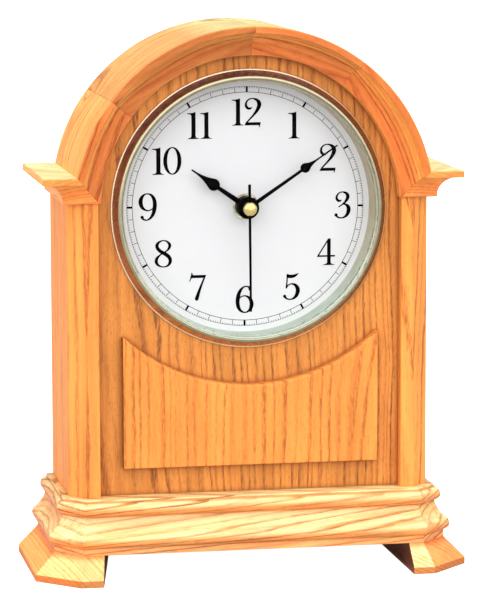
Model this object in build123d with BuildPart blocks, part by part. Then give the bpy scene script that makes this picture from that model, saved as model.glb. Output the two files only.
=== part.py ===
from build123d import *
import os
from math import sin, cos, radians, sqrt

os.makedirs("parts", exist_ok=True)

# ------------------------------------------------------------------
# Driving dimensions, mm. Depth values y are measured from the front
# face of the recessed front panel: y < 0 is in front of it, y > 0 behind.
# ------------------------------------------------------------------
BACK = 61.8            # back edges of the case
FOOT_FRONT = 26.0      # front toe of the feet
YC = (BACK - FOOT_FRONT) / 2   # middle of the depth, becomes y = 0

# feet
FOOT_H = 12.7
FOOT_BAND = 3.3
FOOT_X = 102.5         # half width at the floor
FOOT_CLIP = 77.4       # 45 degree face at the floor, from the middle
FOOT_IN_L = 73.1
FOOT_IN_L_BACK = 58.0
FOOT_IN_R = 73.4

# plinth
PL_X = 88.7            # half width of its top fillet
PL_Y = 10.7            # how far the top fillet stands in front of the panel
PL_CLIP = 63.2         # 45 degree face of the top fillet, from the middle
PL_TOP = 37.9
PL_FOOT = 4.4          # bottom fillet beyond the top fillet

# case
SIDE_X = 85.4
SIDE_IN = 71.4
SIDE_FRONT = 5.5
SIDE_CLIP = 8.0
SPRING = 175.5         # top of the sides, underside of the capitals
PANEL_T = 9.0

# arch and capitals
ARCH_Z = 172.3
ARCH_RO = 84.3
ARCH_RI = 70.4
MOULD_FRONT = 17.5     # front of the fascia
MOULD_PROJ = 10.4      # from fascia to the fillet under the cove
FASCIA = 3.2
COVE_END = 10.9
CAP_X = 98.5
CAP_TOP = 188.5
MITRE_X0 = 82.75       # mitre between arch and capital: top point
MITRE_X1 = 71.2        # and bottom point
JOINT_A = 52.6         # joints between arch segments, degrees
JOINT_B = 90.0
JOINT_C = 142.6

# tablet
TAB_X = 60.4
TAB_Z0 = 51.0
TAB_Z1 = 113.3
TAB_R = 87.5
TAB_RZ = 176.7
TAB_T = 4.8

# back
BP_Y0 = 51.8
BP_Y1 = 57.8
DOOR_X = 42.0
DOOR_Z0 = 130.0
DOOR_Z1 = 206.0
DOOR_GAP = 0.4
HINGE_X = -42.0
HINGE_Y = 59.7
HINGE_R = 1.5
PIN_R = 0.6
PIN_CLEAR = 0.04
HINGE_Z = (146.0, 190.0)
BUTTON_X = 49.0
BUTTON_Z = 168.0

# dial and bezel
ZB = 171.1             # height of the hand axis
BEZEL_R = 65.0
TUBE_RO = 60.4
EASE = 0.5  # sanded edges of the wood
TUBE_RI = 59.0
DIAL_R = 66.0
DIAL_T = 0.9
DIAL_Y0 = PANEL_T
DIAL_Y1 = PANEL_T + DIAL_T

# hands
A_HOUR = 304.7
A_MIN = 56.0
A_SEC = 179.5

# movement
MV_Y0 = 10.6           # front of the housing
MV_IN = 11.8           # inside of its front wall
MV_OPEN = 25.1         # rim of the housing
MV_Y1 = 26.6           # back of the rear cover
MV_HALF = 28.0
BUSH_RO = 4.0
BUSH_RI = 2.61
PIPE_RO = 2.55
PIPE_RI = 1.76
TUBE_MO = 1.70
TUBE_MI = 0.56
ARBOR_R = 0.50
PIVOT_R = 0.35
PIVOT_B = 0.40
M_SEC = 0.25           # modules
M_THIRD = 9.0 / 36.0
M_CENTRE = 9.0 / 34.0
M_MIN = 9.0 / 24.0
M_HOUR = 9.0 / 25.0
A_THIRD = 60.0
A_FIFTH = -10.0
A_ROTOR = 20.0
A_MWHEEL = 180.0
A_KNOB = 135.0


def polar(r, a, c=(0.0, 0.0)):
    return (c[0] + r * cos(radians(a)), c[1] + r * sin(radians(a)))


P_THIRD = polar(9.0, A_THIRD)
P_FIFTH = polar(35 * M_SEC, A_FIFTH)
P_ROTOR = polar(30 * M_SEC, A_ROTOR, P_FIFTH)
P_MW = polar(9.0, A_MWHEEL)
P_KNOB = polar(9.0, A_KNOB, P_MW)


def face(y, x=0.0, z=0.0):
    """Plane across the clock at depth y; extrusions run to the front."""
    return Plane(origin=(x, y - YC, z), x_dir=(1, 0, 0), z_dir=(0, -1, 0))


def move_face(y):
    """The same, centred on the hand axis."""
    return face(y, 0.0, ZB)


def floor_at(z):
    """Horizontal plane, local y is the depth from the panel."""
    return Plane(origin=(0, -YC, z), x_dir=(1, 0, 0), z_dir=(0, 0, 1))


def outward(nx, ny):
    """Upright plane: local x runs outward along (nx, ny), local y is up."""
    k = sqrt(nx * nx + ny * ny)
    return Plane(origin=(0, -YC, 0), x_dir=(nx / k, ny / k, 0), z_dir=(ny / k, -nx / k, 0))


def axial(a=0.0, z=ZB):
    """Plane through the y direction axis: local x is radius, local y depth."""
    return Plane(origin=(0, -YC, z), x_dir=(cos(radians(a)), 0, sin(radians(a))),
                 z_dir=(-sin(radians(a)), 0, cos(radians(a))))


def hand_plane(y, a):
    """Plane at depth y with local y pointing along a hand at angle a."""
    return Plane(origin=(0, y - YC, ZB), x_dir=(cos(radians(a)), 0, -sin(radians(a))), z_dir=(0, -1, 0))


def gear_points(n, m, phase, c=(0.0, 0.0)):
    pitch = 360.0 / n
    rr, ra = m * (n / 2 - 1.05), m * (n / 2 + 0.75)
    pts = []
    for i in range(n):
        a = phase + i * pitch
        pts += [polar(rr, a - 0.27 * pitch, c), polar(ra, a - 0.11 * pitch, c),
                polar(ra, a + 0.11 * pitch, c), polar(rr, a + 0.27 * pitch, c)]
    return pts


def gear(n, m, phase, y0, y1, c=(0.0, 0.0)):
    with BuildSketch(move_face(y1)) as sk:
        with BuildLine():
            Polyline(*gear_points(n, m, phase, c), close=True)
        make_face()
    extrude(sk.sketch, amount=y1 - y0)


def rod(r, y0, y1, c=(0.0, 0.0), mode=Mode.ADD):
    with BuildSketch(move_face(y1)) as sk:
        with Locations(c):
            Circle(r)
    extrude(sk.sketch, amount=y1 - y0, mode=mode)


def plate(pts, y0, y1, mode=Mode.ADD):
    """Flat piece from a polygon of (x, z) points between depths y0 and y1."""
    with BuildSketch(face(y1)) as sk:
        with BuildLine():
            Polyline(*pts, close=True)
        make_face()
    extrude(sk.sketch, amount=y1 - y0, mode=mode)


def block(x0, x1, y0, y1, z0, z1, mode=Mode.ADD):
    plate([(x0, z0), (x1, z0), (x1, z1), (x0, z1)], y0, y1, mode)


def save(p, label):
    p.part.label = label
    export_step(p.part, "parts/" + label + ".step")


# ------------------------------------------------------------------
# Base: feet and plinth
# ------------------------------------------------------------------
def foot_section(top, bottom):
    with BuildLine() as ln:
        Polyline((-150, 0), (bottom, 0), (bottom, FOOT_BAND), (top, FOOT_H), (-150, FOOT_H), close=True)
    make_face(ln.edges())


def foot_body(sx):
    with BuildSketch(outward(0, -1)) as sk:
        foot_section(PL_Y + PL_FOOT, FOOT_FRONT)
    extrude(sk.sketch, amount=150, both=True)
    with BuildSketch(outward(sx, 0)) as sk:
        foot_section(PL_X + PL_FOOT, FOOT_X)
    extrude(sk.sketch, amount=150, both=True, mode=Mode.INTERSECT)
    with BuildSketch(outward(sx, -1)) as sk:
        foot_section(PL_CLIP + PL_FOOT, FOOT_CLIP)
    extrude(sk.sketch, amount=250, both=True, mode=Mode.INTERSECT)


def foot_edges(p):
    """Edges of a foot that a hand can feel: all but those in the sole, the top and the back."""
    return p.edges().filter_by(lambda e: 0.1 < e.center().Z < FOOT_H - 0.1 and e.center().Y < BACK - YC - 0.1)


with BuildPart() as left_foot:
    foot_body(-1)
    with BuildSketch(floor_at(-1)):
        with BuildLine():
            Polyline((-150, -60), (-FOOT_IN_L, -60), (-FOOT_IN_L, -FOOT_FRONT), (-FOOT_IN_L_BACK, BACK), (-150, BACK), close=True)
        make_face()
    extrude(amount=FOOT_H + 2, mode=Mode.INTERSECT)
    fillet(foot_edges(left_foot), EASE)
save(left_foot, "left_foot")

with BuildPart() as right_foot:
    foot_body(1)
    with BuildSketch(floor_at(-1)):
        with BuildLine():
            Polyline((150, -60), (FOOT_IN_R, -60), (FOOT_IN_R, BACK), (150, BACK), close=True)
        make_face()
    extrude(amount=FOOT_H + 2, mode=Mode.INTERSECT)
    fillet(foot_edges(right_foot), EASE)
save(right_foot, "right_foot")


def plinth_section(o, back):
    with BuildLine() as ln:
        Polyline((-back, FOOT_H), (-back, PL_TOP), (o - EASE, PL_TOP), (o, PL_TOP - EASE), (o, 36.3))
        ThreePointArc((o, 36.3), (o + 3.0, 33.3), (o + 0.4, 30.2))
        Line((o + 0.4, 30.2), (o + 0.4, 29.5))
        ThreePointArc((o + 0.4, 29.5), (o + 2.3, 25.5), (o + 5.2, 22.3))
        Line((o + 5.2, 22.3), (o + 5.4, 22.1))
        ThreePointArc((o + 5.4, 22.1), (o + 7.1, 19.4), (o + 4.9, 16.4))
        Polyline((o + 4.9, 16.4), (o + PL_FOOT, 15.8), (o + PL_FOOT, FOOT_H), (-back, FOOT_H))
    make_face(ln.edges())


with BuildPart() as plinth:
    with BuildSketch(outward(0, -1)):
        plinth_section(PL_Y, BACK)
    extrude(amount=150, both=True)
    with BuildSketch(outward(-1, 0)):
        plinth_section(PL_X, 150)
    extrude(amount=150, both=True, mode=Mode.INTERSECT)
    with BuildSketch(outward(1, 0)):
        plinth_section(PL_X, 150)
    extrude(amount=150, both=True, mode=Mode.INTERSECT)
    with BuildSketch(outward(-1, -1)):
        plinth_section(PL_CLIP, 250)
    extrude(amount=250, both=True, mode=Mode.INTERSECT)
    with BuildSketch(outward(1, -1)):
        plinth_section(PL_CLIP, 250)
    extrude(amount=250, both=True, mode=Mode.INTERSECT)
save(plinth, "plinth")

# ------------------------------------------------------------------
# Case: sides, front panel, tablet
# ------------------------------------------------------------------
def side_plan(s):
    with BuildLine() as ln:
        Polyline((s * SIDE_IN, -SIDE_FRONT), (s * (SIDE_X - SIDE_CLIP), -SIDE_FRONT),
                 (s * SIDE_X, -SIDE_FRONT + SIDE_CLIP), (s * SIDE_X, BACK), (s * SIDE_IN, BACK), close=True)
    make_face(ln.edges())


with BuildPart() as left_side:
    with BuildSketch(floor_at(PL_TOP)):
        side_plan(-1)
    extrude(amount=SPRING - PL_TOP)
    fillet(left_side.edges().filter_by(Axis.Z).sort_by(Axis.Y)[:3], EASE)
save(left_side, "left_side")

with BuildPart() as right_side:
    with BuildSketch(floor_at(PL_TOP)):
        side_plan(1)
    extrude(amount=SPRING - PL_TOP)
    fillet(right_side.edges().filter_by(Axis.Z).sort_by(Axis.Y)[:3], EASE)
save(right_side, "right_side")

DIAL_SCREW_R = 63.4
DIAL_SCREWS = [polar(DIAL_SCREW_R, a) for a in (45, 135, 225, 315)]

with BuildPart() as front_panel:
    with BuildSketch(face(PANEL_T)):
        with Locations((0, (PL_TOP + SPRING) / 2)):
            Rectangle(2 * SIDE_IN, SPRING - PL_TOP)
        with Locations((0, ARCH_Z)):
            Circle(ARCH_RI)
        with Locations((0, ZB)):
            Circle(TUBE_RO, mode=Mode.SUBTRACT)
    extrude(amount=PANEL_T)
    for c in DIAL_SCREWS:
        rod(0.8, 4.0, PANEL_T, c, Mode.SUBTRACT)
save(front_panel, "front_panel")

with BuildPart() as raised_tablet:
    with BuildSketch(face(0)):
        with BuildLine():
            Polyline((TAB_X, TAB_Z1), (TAB_X, TAB_Z0), (-TAB_X, TAB_Z0), (-TAB_X, TAB_Z1))
            ThreePointArc((-TAB_X, TAB_Z1), (0, TAB_RZ - TAB_R), (TAB_X, TAB_Z1))
        make_face()
    extrude(amount=TAB_T)
    rim = raised_tablet.faces().sort_by(Axis.Y)[0].edges().filter_by(GeomType.CIRCLE)
    fillet(rim, 1.6)
    front_edges = raised_tablet.edges().filter_by(GeomType.LINE).filter_by(
        lambda e: abs(e.center().Y - (-YC - TAB_T)) < 0.01 and e.length > 20)
    fillet(front_edges, EASE)
save(raised_tablet, "raised_tablet")

# ------------------------------------------------------------------
# Arch segments with a fascia, cove and fillet on the front edge
# ------------------------------------------------------------------
def arch_section():
    ro = ARCH_RO
    with BuildLine() as ln:
        Polyline((ARCH_RI, -MOULD_FRONT + MOULD_PROJ + 0.4), (ARCH_RI, BACK), (ro, BACK), (ro, -MOULD_FRONT + EASE), (ro - EASE, -MOULD_FRONT),
                 (ro - FASCIA, -MOULD_FRONT), (ro - FASCIA, -MOULD_FRONT + 0.5))
        ThreePointArc((ro - FASCIA, -MOULD_FRONT + 0.5), (ro - 5.5, -10.1), (ro - COVE_END, -MOULD_FRONT + MOULD_PROJ))
        Polyline((ro - COVE_END, -MOULD_FRONT + MOULD_PROJ), (ARCH_RI + 0.4, -MOULD_FRONT + MOULD_PROJ),
                 (ARCH_RI, -MOULD_FRONT + MOULD_PROJ + 0.4))
    make_face(ln.edges())


def arch_body(a0, a1):
    with BuildSketch(axial(a0, ARCH_Z)) as sk:
        arch_section()
    revolve(sk.sketch, axis=Axis((0, 0, ARCH_Z), (0, -1, 0)), revolution_arc=a1 - a0)


def arch_foot(s):
    block(-130, 130, -40, 90, 150, SPRING, Mode.SUBTRACT)
    k = (MITRE_X0 - MITRE_X1) / (CAP_TOP - SPRING)
    plate([(s * MITRE_X0, CAP_TOP), (s * (MITRE_X1 - 5 * k), SPRING - 5), (s * 130, SPRING - 5), (s * 130, CAP_TOP)],
          -40, -SIDE_FRONT, Mode.SUBTRACT)


with BuildPart() as arch_lower_right:
    arch_body(0.0, JOINT_A)
    arch_foot(1)
save(arch_lower_right, "arch_lower_right")

with BuildPart() as arch_upper_right:
    arch_body(JOINT_A, JOINT_B)
save(arch_upper_right, "arch_upper_right")

with BuildPart() as arch_upper_left:
    arch_body(JOINT_B, JOINT_C)
save(arch_upper_left, "arch_upper_left")

with BuildPart() as arch_lower_left:
    arch_body(JOINT_C, 180.0)
    arch_foot(-1)
save(arch_lower_left, "arch_lower_left")


# ------------------------------------------------------------------
# Capitals
# ------------------------------------------------------------------
def cap_section(o, back):
    e = o - MOULD_PROJ
    with BuildLine() as ln:
        Polyline((e - 0.4, SPRING), (-back, SPRING), (-back, CAP_TOP), (o - EASE, CAP_TOP), (o, CAP_TOP - EASE), (o, CAP_TOP - FASCIA), (o - 0.5, CAP_TOP - FASCIA))
        ThreePointArc((o - 0.5, CAP_TOP - FASCIA), (o - 7.4, CAP_TOP - 5.5), (e, CAP_TOP - COVE_END))
        Polyline((e, CAP_TOP - COVE_END), (e, SPRING + 0.4), (e - 0.4, SPRING))
    make_face(ln.edges())


def cap_body(s):
    with BuildSketch(outward(0, -1)) as sk:
        cap_section(MOULD_FRONT, BACK)
    extrude(sk.sketch, amount=150, both=True)
    with BuildSketch(outward(s, 0)) as sk:
        cap_section(CAP_X, 20)
    extrude(sk.sketch, amount=150, both=True, mode=Mode.INTERSECT)
    with BuildSketch(face(BACK + 1)) as sk:
        with Locations((0, ARCH_Z)):
            Circle(ARCH_RO)
    extrude(sk.sketch, amount=BACK + 1 + SIDE_FRONT, mode=Mode.SUBTRACT)
    k = (MITRE_X0 - MITRE_X1) / (CAP_TOP - SPRING)
    plate([(s * (MITRE_X0 + 2 * k), CAP_TOP + 2), (s * -40, CAP_TOP + 2), (s * -40, SPRING - 2), (s * (MITRE_X1 - 2 * k), SPRING - 2)],
          -40, -SIDE_FRONT, Mode.SUBTRACT)


with BuildPart() as left_capital:
    cap_body(-1)
save(left_capital, "left_capital")

with BuildPart() as right_capital:
    cap_body(1)
save(right_capital, "right_capital")

# ------------------------------------------------------------------
# Inside of the case and the back
# ------------------------------------------------------------------
CLEAT_Y0 = 41.8
CLEAT_X = 63.4
SCREW_X = 67.4
SCREW_Z = (58.0, 108.0, 158.0)

with BuildPart() as left_cleat:
    block(-SIDE_IN, -CLEAT_X, CLEAT_Y0, BP_Y0, 48, 168)
    for z in SCREW_Z:
        rod(1.4, 43.8, BP_Y0, (-SCREW_X, z - ZB), Mode.SUBTRACT)
save(left_cleat, "left_cleat")

with BuildPart() as right_cleat:
    block(CLEAT_X, SIDE_IN, CLEAT_Y0, BP_Y0, 48, 168)
    for z in SCREW_Z:
        rod(1.4, 43.8, BP_Y0, (SCREW_X, z - ZB), Mode.SUBTRACT)
save(right_cleat, "right_cleat")

with BuildPart() as glue_blocks:
    for s in (-1, 1):
        with BuildSketch(floor_at(PL_TOP)):
            with BuildLine():
                Polyline((s * SIDE_IN, PANEL_T), (s * (SIDE_IN - 14), PANEL_T), (s * (SIDE_IN - 14), PANEL_T + 4),
                         (s * (SIDE_IN - 4), PANEL_T + 14), (s * SIDE_IN, PANEL_T + 14), close=True)
            make_face()
        extrude(amount=45)
save(glue_blocks, "glue_blocks")

BACK_SCREWS = [(s * SCREW_X, z) for s in (-1, 1) for z in SCREW_Z]
HINGE_L = 16.0
LEAF_T = 0.8
LEAF_W = 10.0
HINGE_SCREW_DX = 6.2
HINGE_SCREW_DZ = 5.0

with BuildPart() as back_panel:
    with BuildSketch(face(BP_Y1)):
        with Locations((0, (PL_TOP + SPRING) / 2)):
            Rectangle(2 * SIDE_IN, SPRING - PL_TOP)
        with Locations((0, ARCH_Z)):
            Circle(ARCH_RI)
        with Locations((0, (DOOR_Z0 + DOOR_Z1) / 2)):
            Rectangle(2 * DOOR_X, DOOR_Z1 - DOOR_Z0, mode=Mode.SUBTRACT)
    extrude(amount=BP_Y1 - BP_Y0)
    for x, z in BACK_SCREWS:
        rod(1.4, BP_Y0, BP_Y1, (x, z - ZB), Mode.SUBTRACT)
    for hz in HINGE_Z:
        for dz in (-HINGE_SCREW_DZ, HINGE_SCREW_DZ):
            rod(0.7, BP_Y1 - 4.5, BP_Y1, (HINGE_X - HINGE_SCREW_DX, hz + dz - ZB), Mode.SUBTRACT)
    rod(1.2, BP_Y0, BP_Y1, (BUTTON_X, BUTTON_Z - ZB), Mode.SUBTRACT)
save(back_panel, "back_panel")

with BuildPart() as back_panel_screws:
    for x, z in BACK_SCREWS:
        c = (x, z - ZB)
        rod(1.4, 43.8, BP_Y1, c)
        rod(3.0, BP_Y1, BP_Y1 + 1.5, c)
        with BuildSketch(face(BP_Y1 + 1.6, x, z)):
            Rectangle(7, 0.8, rotation=x + z)
        extrude(amount=0.9, mode=Mode.SUBTRACT)
save(back_panel_screws, "back_panel_screws")

with BuildPart() as back_door:
    block(-DOOR_X + DOOR_GAP, DOOR_X - DOOR_GAP, BP_Y0, BP_Y1, DOOR_Z0 + DOOR_GAP, DOOR_Z1 - DOOR_GAP)
    edges_v = back_door.edges().filter_by(Axis.Y).group_by(Axis.X)[-1]
    fillet(edges_v, 2.0)
    # finger notch on the free edge, below the turn button
    with BuildSketch(face(BP_Y1 + 0.1)):
        with Locations((DOOR_X, 145)):
            Circle(7)
    extrude(amount=BP_Y1 - BP_Y0 + 0.2, mode=Mode.SUBTRACT)
    for hz in HINGE_Z:
        for dz in (-HINGE_SCREW_DZ, HINGE_SCREW_DZ):
            rod(0.7, BP_Y1 - 4.5, BP_Y1, (HINGE_X + HINGE_SCREW_DX, hz + dz - ZB), Mode.SUBTRACT)
save(back_door, "back_door")


def knuckle(z0, z1, bore):
    with BuildSketch(floor_at(z0)) as sk:
        with Locations((HINGE_X, HINGE_Y)):
            Circle(HINGE_R)
    extrude(sk.sketch, amount=z1 - z0)
    with BuildSketch(floor_at(z0)) as sk:
        with Locations((HINGE_X, HINGE_Y)):
            Circle(bore)
    extrude(sk.sketch, amount=z1 - z0, mode=Mode.SUBTRACT)


def leaf_web(s, z0, z1):
    """Short bent strip from the leaf to the outside of its knuckle."""
    with BuildSketch(floor_at(z0)) as sk:
        with BuildLine():
            Polyline((HINGE_X + s * 2.4, BP_Y1), (HINGE_X + s * 2.4, BP_Y1 + LEAF_T), (HINGE_X + s * 1.3, HINGE_Y - 0.1),
                     (HINGE_X + s * 0.9, HINGE_Y - 0.95), (HINGE_X + s * 1.5, BP_Y1 + 0.35), close=True)
        make_face()
    extrude(sk.sketch, amount=z1 - z0)


def leaf(s, hz):
    block(min(HINGE_X + s * 2.4, HINGE_X + s * LEAF_W), max(HINGE_X + s * 2.4, HINGE_X + s * LEAF_W),
          BP_Y1, BP_Y1 + LEAF_T, hz - HINGE_L / 2, hz + HINGE_L / 2)


def leaf_holes(s, hz):
    for dz in (-HINGE_SCREW_DZ, HINGE_SCREW_DZ):
        rod(0.7, BP_Y1 - 1, BP_Y1 + 2, (HINGE_X + s * HINGE_SCREW_DX, hz + dz - ZB), Mode.SUBTRACT)


with BuildPart() as hinge_fixed_leaves:
    for hz in HINGE_Z:
        leaf(-1, hz)
        for z0, z1 in ((hz - 8, hz - 3), (hz + 3, hz + 8)):
            leaf_web(-1, z0, z1)
            knuckle(z0, z1, PIN_R)
        leaf_holes(-1, hz)
save(hinge_fixed_leaves, "hinge_fixed_leaves")

with BuildPart() as hinge_door_leaves:
    for hz in HINGE_Z:
        leaf(1, hz)
        leaf_web(1, hz - 2.7, hz + 2.7)
        knuckle(hz - 2.7, hz + 2.7, PIN_R + PIN_CLEAR)
        leaf_holes(1, hz)
save(hinge_door_leaves, "hinge_door_leaves")

with BuildPart() as hinge_pins:
    for hz in HINGE_Z:
        with BuildSketch(floor_at(hz - 8.4)):
            with Locations((HINGE_X, HINGE_Y)):
                Circle(PIN_R)
        extrude(amount=16.8)
save(hinge_pins, "hinge_pins")


def small_screw(x, z, y_seat, shank, depth, head, turn):
    rod(shank, y_seat - depth, y_seat, (x, z - ZB))
    rod(head, y_seat, y_seat + 0.7, (x, z - ZB))
    with BuildSketch(face(y_seat + 0.8, x, z)) as sk:
        Rectangle(head * 2.4, 0.4, rotation=turn)
    extrude(sk.sketch, amount=0.45, mode=Mode.SUBTRACT)


with BuildPart() as hinge_fixed_screws:
    for hz in HINGE_Z:
        for dz in (-HINGE_SCREW_DZ, HINGE_SCREW_DZ):
            small_screw(HINGE_X - HINGE_SCREW_DX, hz + dz, BP_Y1 + LEAF_T, 0.7, LEAF_T + 4.5, 1.5, 20 + 3 * hz + 11 * dz)
save(hinge_fixed_screws, "hinge_fixed_screws")

with BuildPart() as hinge_door_screws:
    for hz in HINGE_Z:
        for dz in (-HINGE_SCREW_DZ, HINGE_SCREW_DZ):
            small_screw(HINGE_X + HINGE_SCREW_DX, hz + dz, BP_Y1 + LEAF_T, 0.7, LEAF_T + 4.5, 1.5, 70 + 5 * hz + 7 * dz)
save(hinge_door_screws, "hinge_door_screws")

BUTTON_T = 2.0
BUTTON_GAP = 0.15
with BuildPart() as turn_button:
    with BuildSketch(face(BP_Y1 + BUTTON_GAP + BUTTON_T, BUTTON_X, BUTTON_Z)):
        SlotOverall(26, 7, rotation=90)
        Circle(4.4)
        Circle(1.25, mode=Mode.SUBTRACT)
    extrude(amount=BUTTON_T)
save(turn_button, "turn_button")

with BuildPart() as turn_button_screw:
    rod(1.2, BP_Y0, BP_Y1 + BUTTON_GAP + BUTTON_T + 0.1, (BUTTON_X, BUTTON_Z - ZB))
    rod(2.6, BP_Y1 + BUTTON_GAP + BUTTON_T + 0.1, BP_Y1 + BUTTON_GAP + BUTTON_T + 1.3, (BUTTON_X, BUTTON_Z - ZB))
    with BuildSketch(face(BP_Y1 + BUTTON_GAP + BUTTON_T + 1.4, BUTTON_X, BUTTON_Z)):
        Rectangle(6, 0.6, rotation=35)
    extrude(amount=0.8, mode=Mode.SUBTRACT)
save(turn_button_screw, "turn_button_screw")

# ------------------------------------------------------------------
# Bezel, glass, dial
# ------------------------------------------------------------------
GLASS_Y0 = -3.4
GLASS_Y1 = -2.2
GLASS_R = 60.2
GLASS_RISE = 4.6

with BuildPart() as bezel:
    with BuildSketch(axial()):
        with BuildLine():
            Polyline((62.5, -4.2), (64.2, -1.0), (64.5, -0.7), (BEZEL_R, -0.7), (BEZEL_R, 0), (TUBE_RO, 0), (TUBE_RO, PANEL_T), (TUBE_RI, PANEL_T),
                     (59.35, GLASS_Y1), (GLASS_R, GLASS_Y1), (GLASS_R, GLASS_Y0), (59.6, GLASS_Y0), (59.7, -4.5))
            ThreePointArc((59.7, -4.5), (61.1, -5.3), (62.5, -4.2))
        make_face()
    revolve(axis=Axis((0, -YC, ZB), (0, 1, 0)), revolution_arc=360)
save(bezel, "bezel")

with BuildPart() as glass:
    # dome struck from a centre on the hand axis, with a tiny flat at the apex
    dome_r = (TUBE_RI**2 + GLASS_RISE**2) / (2 * GLASS_RISE)
    dome = [(r, dome_r - GLASS_RISE - (dome_r**2 - r**2) ** 0.5) for r in (0.6, 29.2, TUBE_RI)]
    outer = [(r, GLASS_Y0 + h) for r, h in dome]
    inner = [(r, GLASS_Y1 + h) for r, h in dome]
    with BuildSketch(axial()):
        with BuildLine():
            Polyline(inner[0], (0, inner[0][1]), (0, outer[0][1]), outer[0])
            ThreePointArc(*outer)
            Polyline(outer[2], (GLASS_R, GLASS_Y0), (GLASS_R, GLASS_Y1), inner[2])
            ThreePointArc(*inner)
        make_face()
    revolve(axis=Axis((0, -YC, ZB), (0, 1, 0)), revolution_arc=360)
save(glass, "glass")

with BuildPart() as dial_plate:
    rod(DIAL_R, DIAL_Y0, DIAL_Y1)
    rod(BUSH_RO, DIAL_Y0, DIAL_Y1, mode=Mode.SUBTRACT)
    for c in DIAL_SCREWS:
        rod(0.8, DIAL_Y0, DIAL_Y1, c, Mode.SUBTRACT)
save(dial_plate, "dial_plate")

with BuildPart() as dial_screws:
    for c in DIAL_SCREWS:
        small_screw(c[0], c[1] + ZB, DIAL_Y1, 0.8, DIAL_T + 5.0, 1.7, 30 + c[0])
save(dial_screws, "dial_screws")

with BuildPart() as gasket:
    rod(10.0, DIAL_Y1, MV_Y0)
    rod(BUSH_RO, DIAL_Y1, MV_Y0, mode=Mode.SUBTRACT)
save(gasket, "gasket")

with BuildPart() as fixing_nut:
    rod(6.3, 6.9, DIAL_Y0)
    rod(BUSH_RO, 6.9, DIAL_Y0, mode=Mode.SUBTRACT)
    nut_rim = fixing_nut.faces().sort_by(Axis.Y)[0].edges()
    chamfer(nut_rim.sort_by(SortBy.LENGTH)[-1], 0.5)
    # two spanner slots
    with BuildSketch(move_face(6.95)):
        Rectangle(20, 1.4)
    extrude(amount=-0.9, mode=Mode.SUBTRACT)
    rod(BUSH_RO, 6.0, DIAL_Y0, mode=Mode.SUBTRACT)
save(fixing_nut, "fixing_nut")

# ------------------------------------------------------------------
# Hands
# ------------------------------------------------------------------
HOUR_Y0, HOUR_Y1 = 3.7, 4.2
MIN_Y0, MIN_Y1 = 1.7, 2.2
SEC_Y0, SEC_Y1 = -1.9, -1.5


def pear(w_root, w_neck, bulb, bulb_r, taper, tip, w_tip):
    """Outline along local y: tapering bar, round bulb, then a hollow taper through the given (half width, y) points to the tip."""
    meet = bulb - (bulb_r**2 - (w_neck / 2) ** 2) ** 0.5
    leave = (bulb_r * 0.9063, bulb + bulb_r * 0.4226)
    end = (w_tip / 2, tip - 0.15)
    with BuildLine() as ln:
        for s in (1, -1):
            Line((s * w_root / 2, 0), (s * w_neck / 2, meet))
            ThreePointArc((s * w_neck / 2, meet), (s * bulb_r, bulb), (s * leave[0], leave[1]))
            Spline((s * leave[0], leave[1]), *[(s * x, y) for x, y in taper], (s * end[0], end[1]), tangents=((s * -0.4226, 0.9063), (s * -0.01, 1)))
            Line((s * end[0], end[1]), (0, tip))
        Line((w_root / 2, 0), (-w_root / 2, 0))
    make_face(ln.edges())


with BuildPart() as hour_hand:
    with BuildSketch(hand_plane(HOUR_Y1, A_HOUR)):
        pear(2.9, 1.9, 19.4, 2.85, [(2.09, 21.75), (1.32, 24.0), (0.70, 27.0), (0.45, 29.6)], 32.1, 0.8)
        Circle(5.0)
        Circle(2.3, mode=Mode.SUBTRACT)
    extrude(amount=HOUR_Y1 - HOUR_Y0)
save(hour_hand, "hour_hand")

with BuildPart() as minute_hand:
    with BuildSketch(hand_plane(MIN_Y1, A_MIN)):
        pear(1.92, 1.26, 32.6, 2.28, [(1.30, 35.0), (0.69, 37.0), (0.43, 39.0), (0.37, 44.0)], 51.2, 0.6)
        Circle(5.1)
        Circle(1.3, mode=Mode.SUBTRACT)
    extrude(amount=MIN_Y1 - MIN_Y0)
save(minute_hand, "minute_hand")

with BuildPart() as second_hand:
    with BuildSketch(hand_plane(SEC_Y1, A_SEC)):
        with BuildLine():
            Polyline((0.65, -11.4), (0.62, 5), (0.48, 48.2), (-0.48, 48.2), (-0.62, 5), (-0.65, -11.4), close=True)
        make_face()
        Circle(2.3)
        Circle(ARBOR_R, mode=Mode.SUBTRACT)
    extrude(amount=SEC_Y1 - SEC_Y0)
    rod(1.1, SEC_Y1, SEC_Y1 + 0.8)
    rod(ARBOR_R, SEC_Y0, SEC_Y1 + 0.8, mode=Mode.SUBTRACT)
save(second_hand, "second_hand")

with BuildPart() as hand_cap:
    with BuildSketch(axial()):
        with BuildLine():
            Polyline((ARBOR_R, SEC_Y0), (3.2, SEC_Y0), (3.2, SEC_Y0 - 0.9))
            ThreePointArc((3.2, SEC_Y0 - 0.9), (2.75, SEC_Y0 - 1.7), (1.9, SEC_Y0 - 2.1))
            Polyline((1.9, SEC_Y0 - 2.1), (0, SEC_Y0 - 2.3), (0, SEC_Y0 - 1.1), (ARBOR_R, SEC_Y0 - 1.1), (ARBOR_R, SEC_Y0))
        make_face()
    revolve(axis=Axis((0, -YC, ZB), (0, 1, 0)), revolution_arc=360)
save(hand_cap, "hand_cap")

# ------------------------------------------------------------------
# Quartz movement
# ------------------------------------------------------------------
PILLARS = [(-11.0, 11.0), (16.0, 12.5), (13.0, -7.5)]
BOARD_PADS = [(19.0, -5.0), (23.0, 4.0)]

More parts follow.
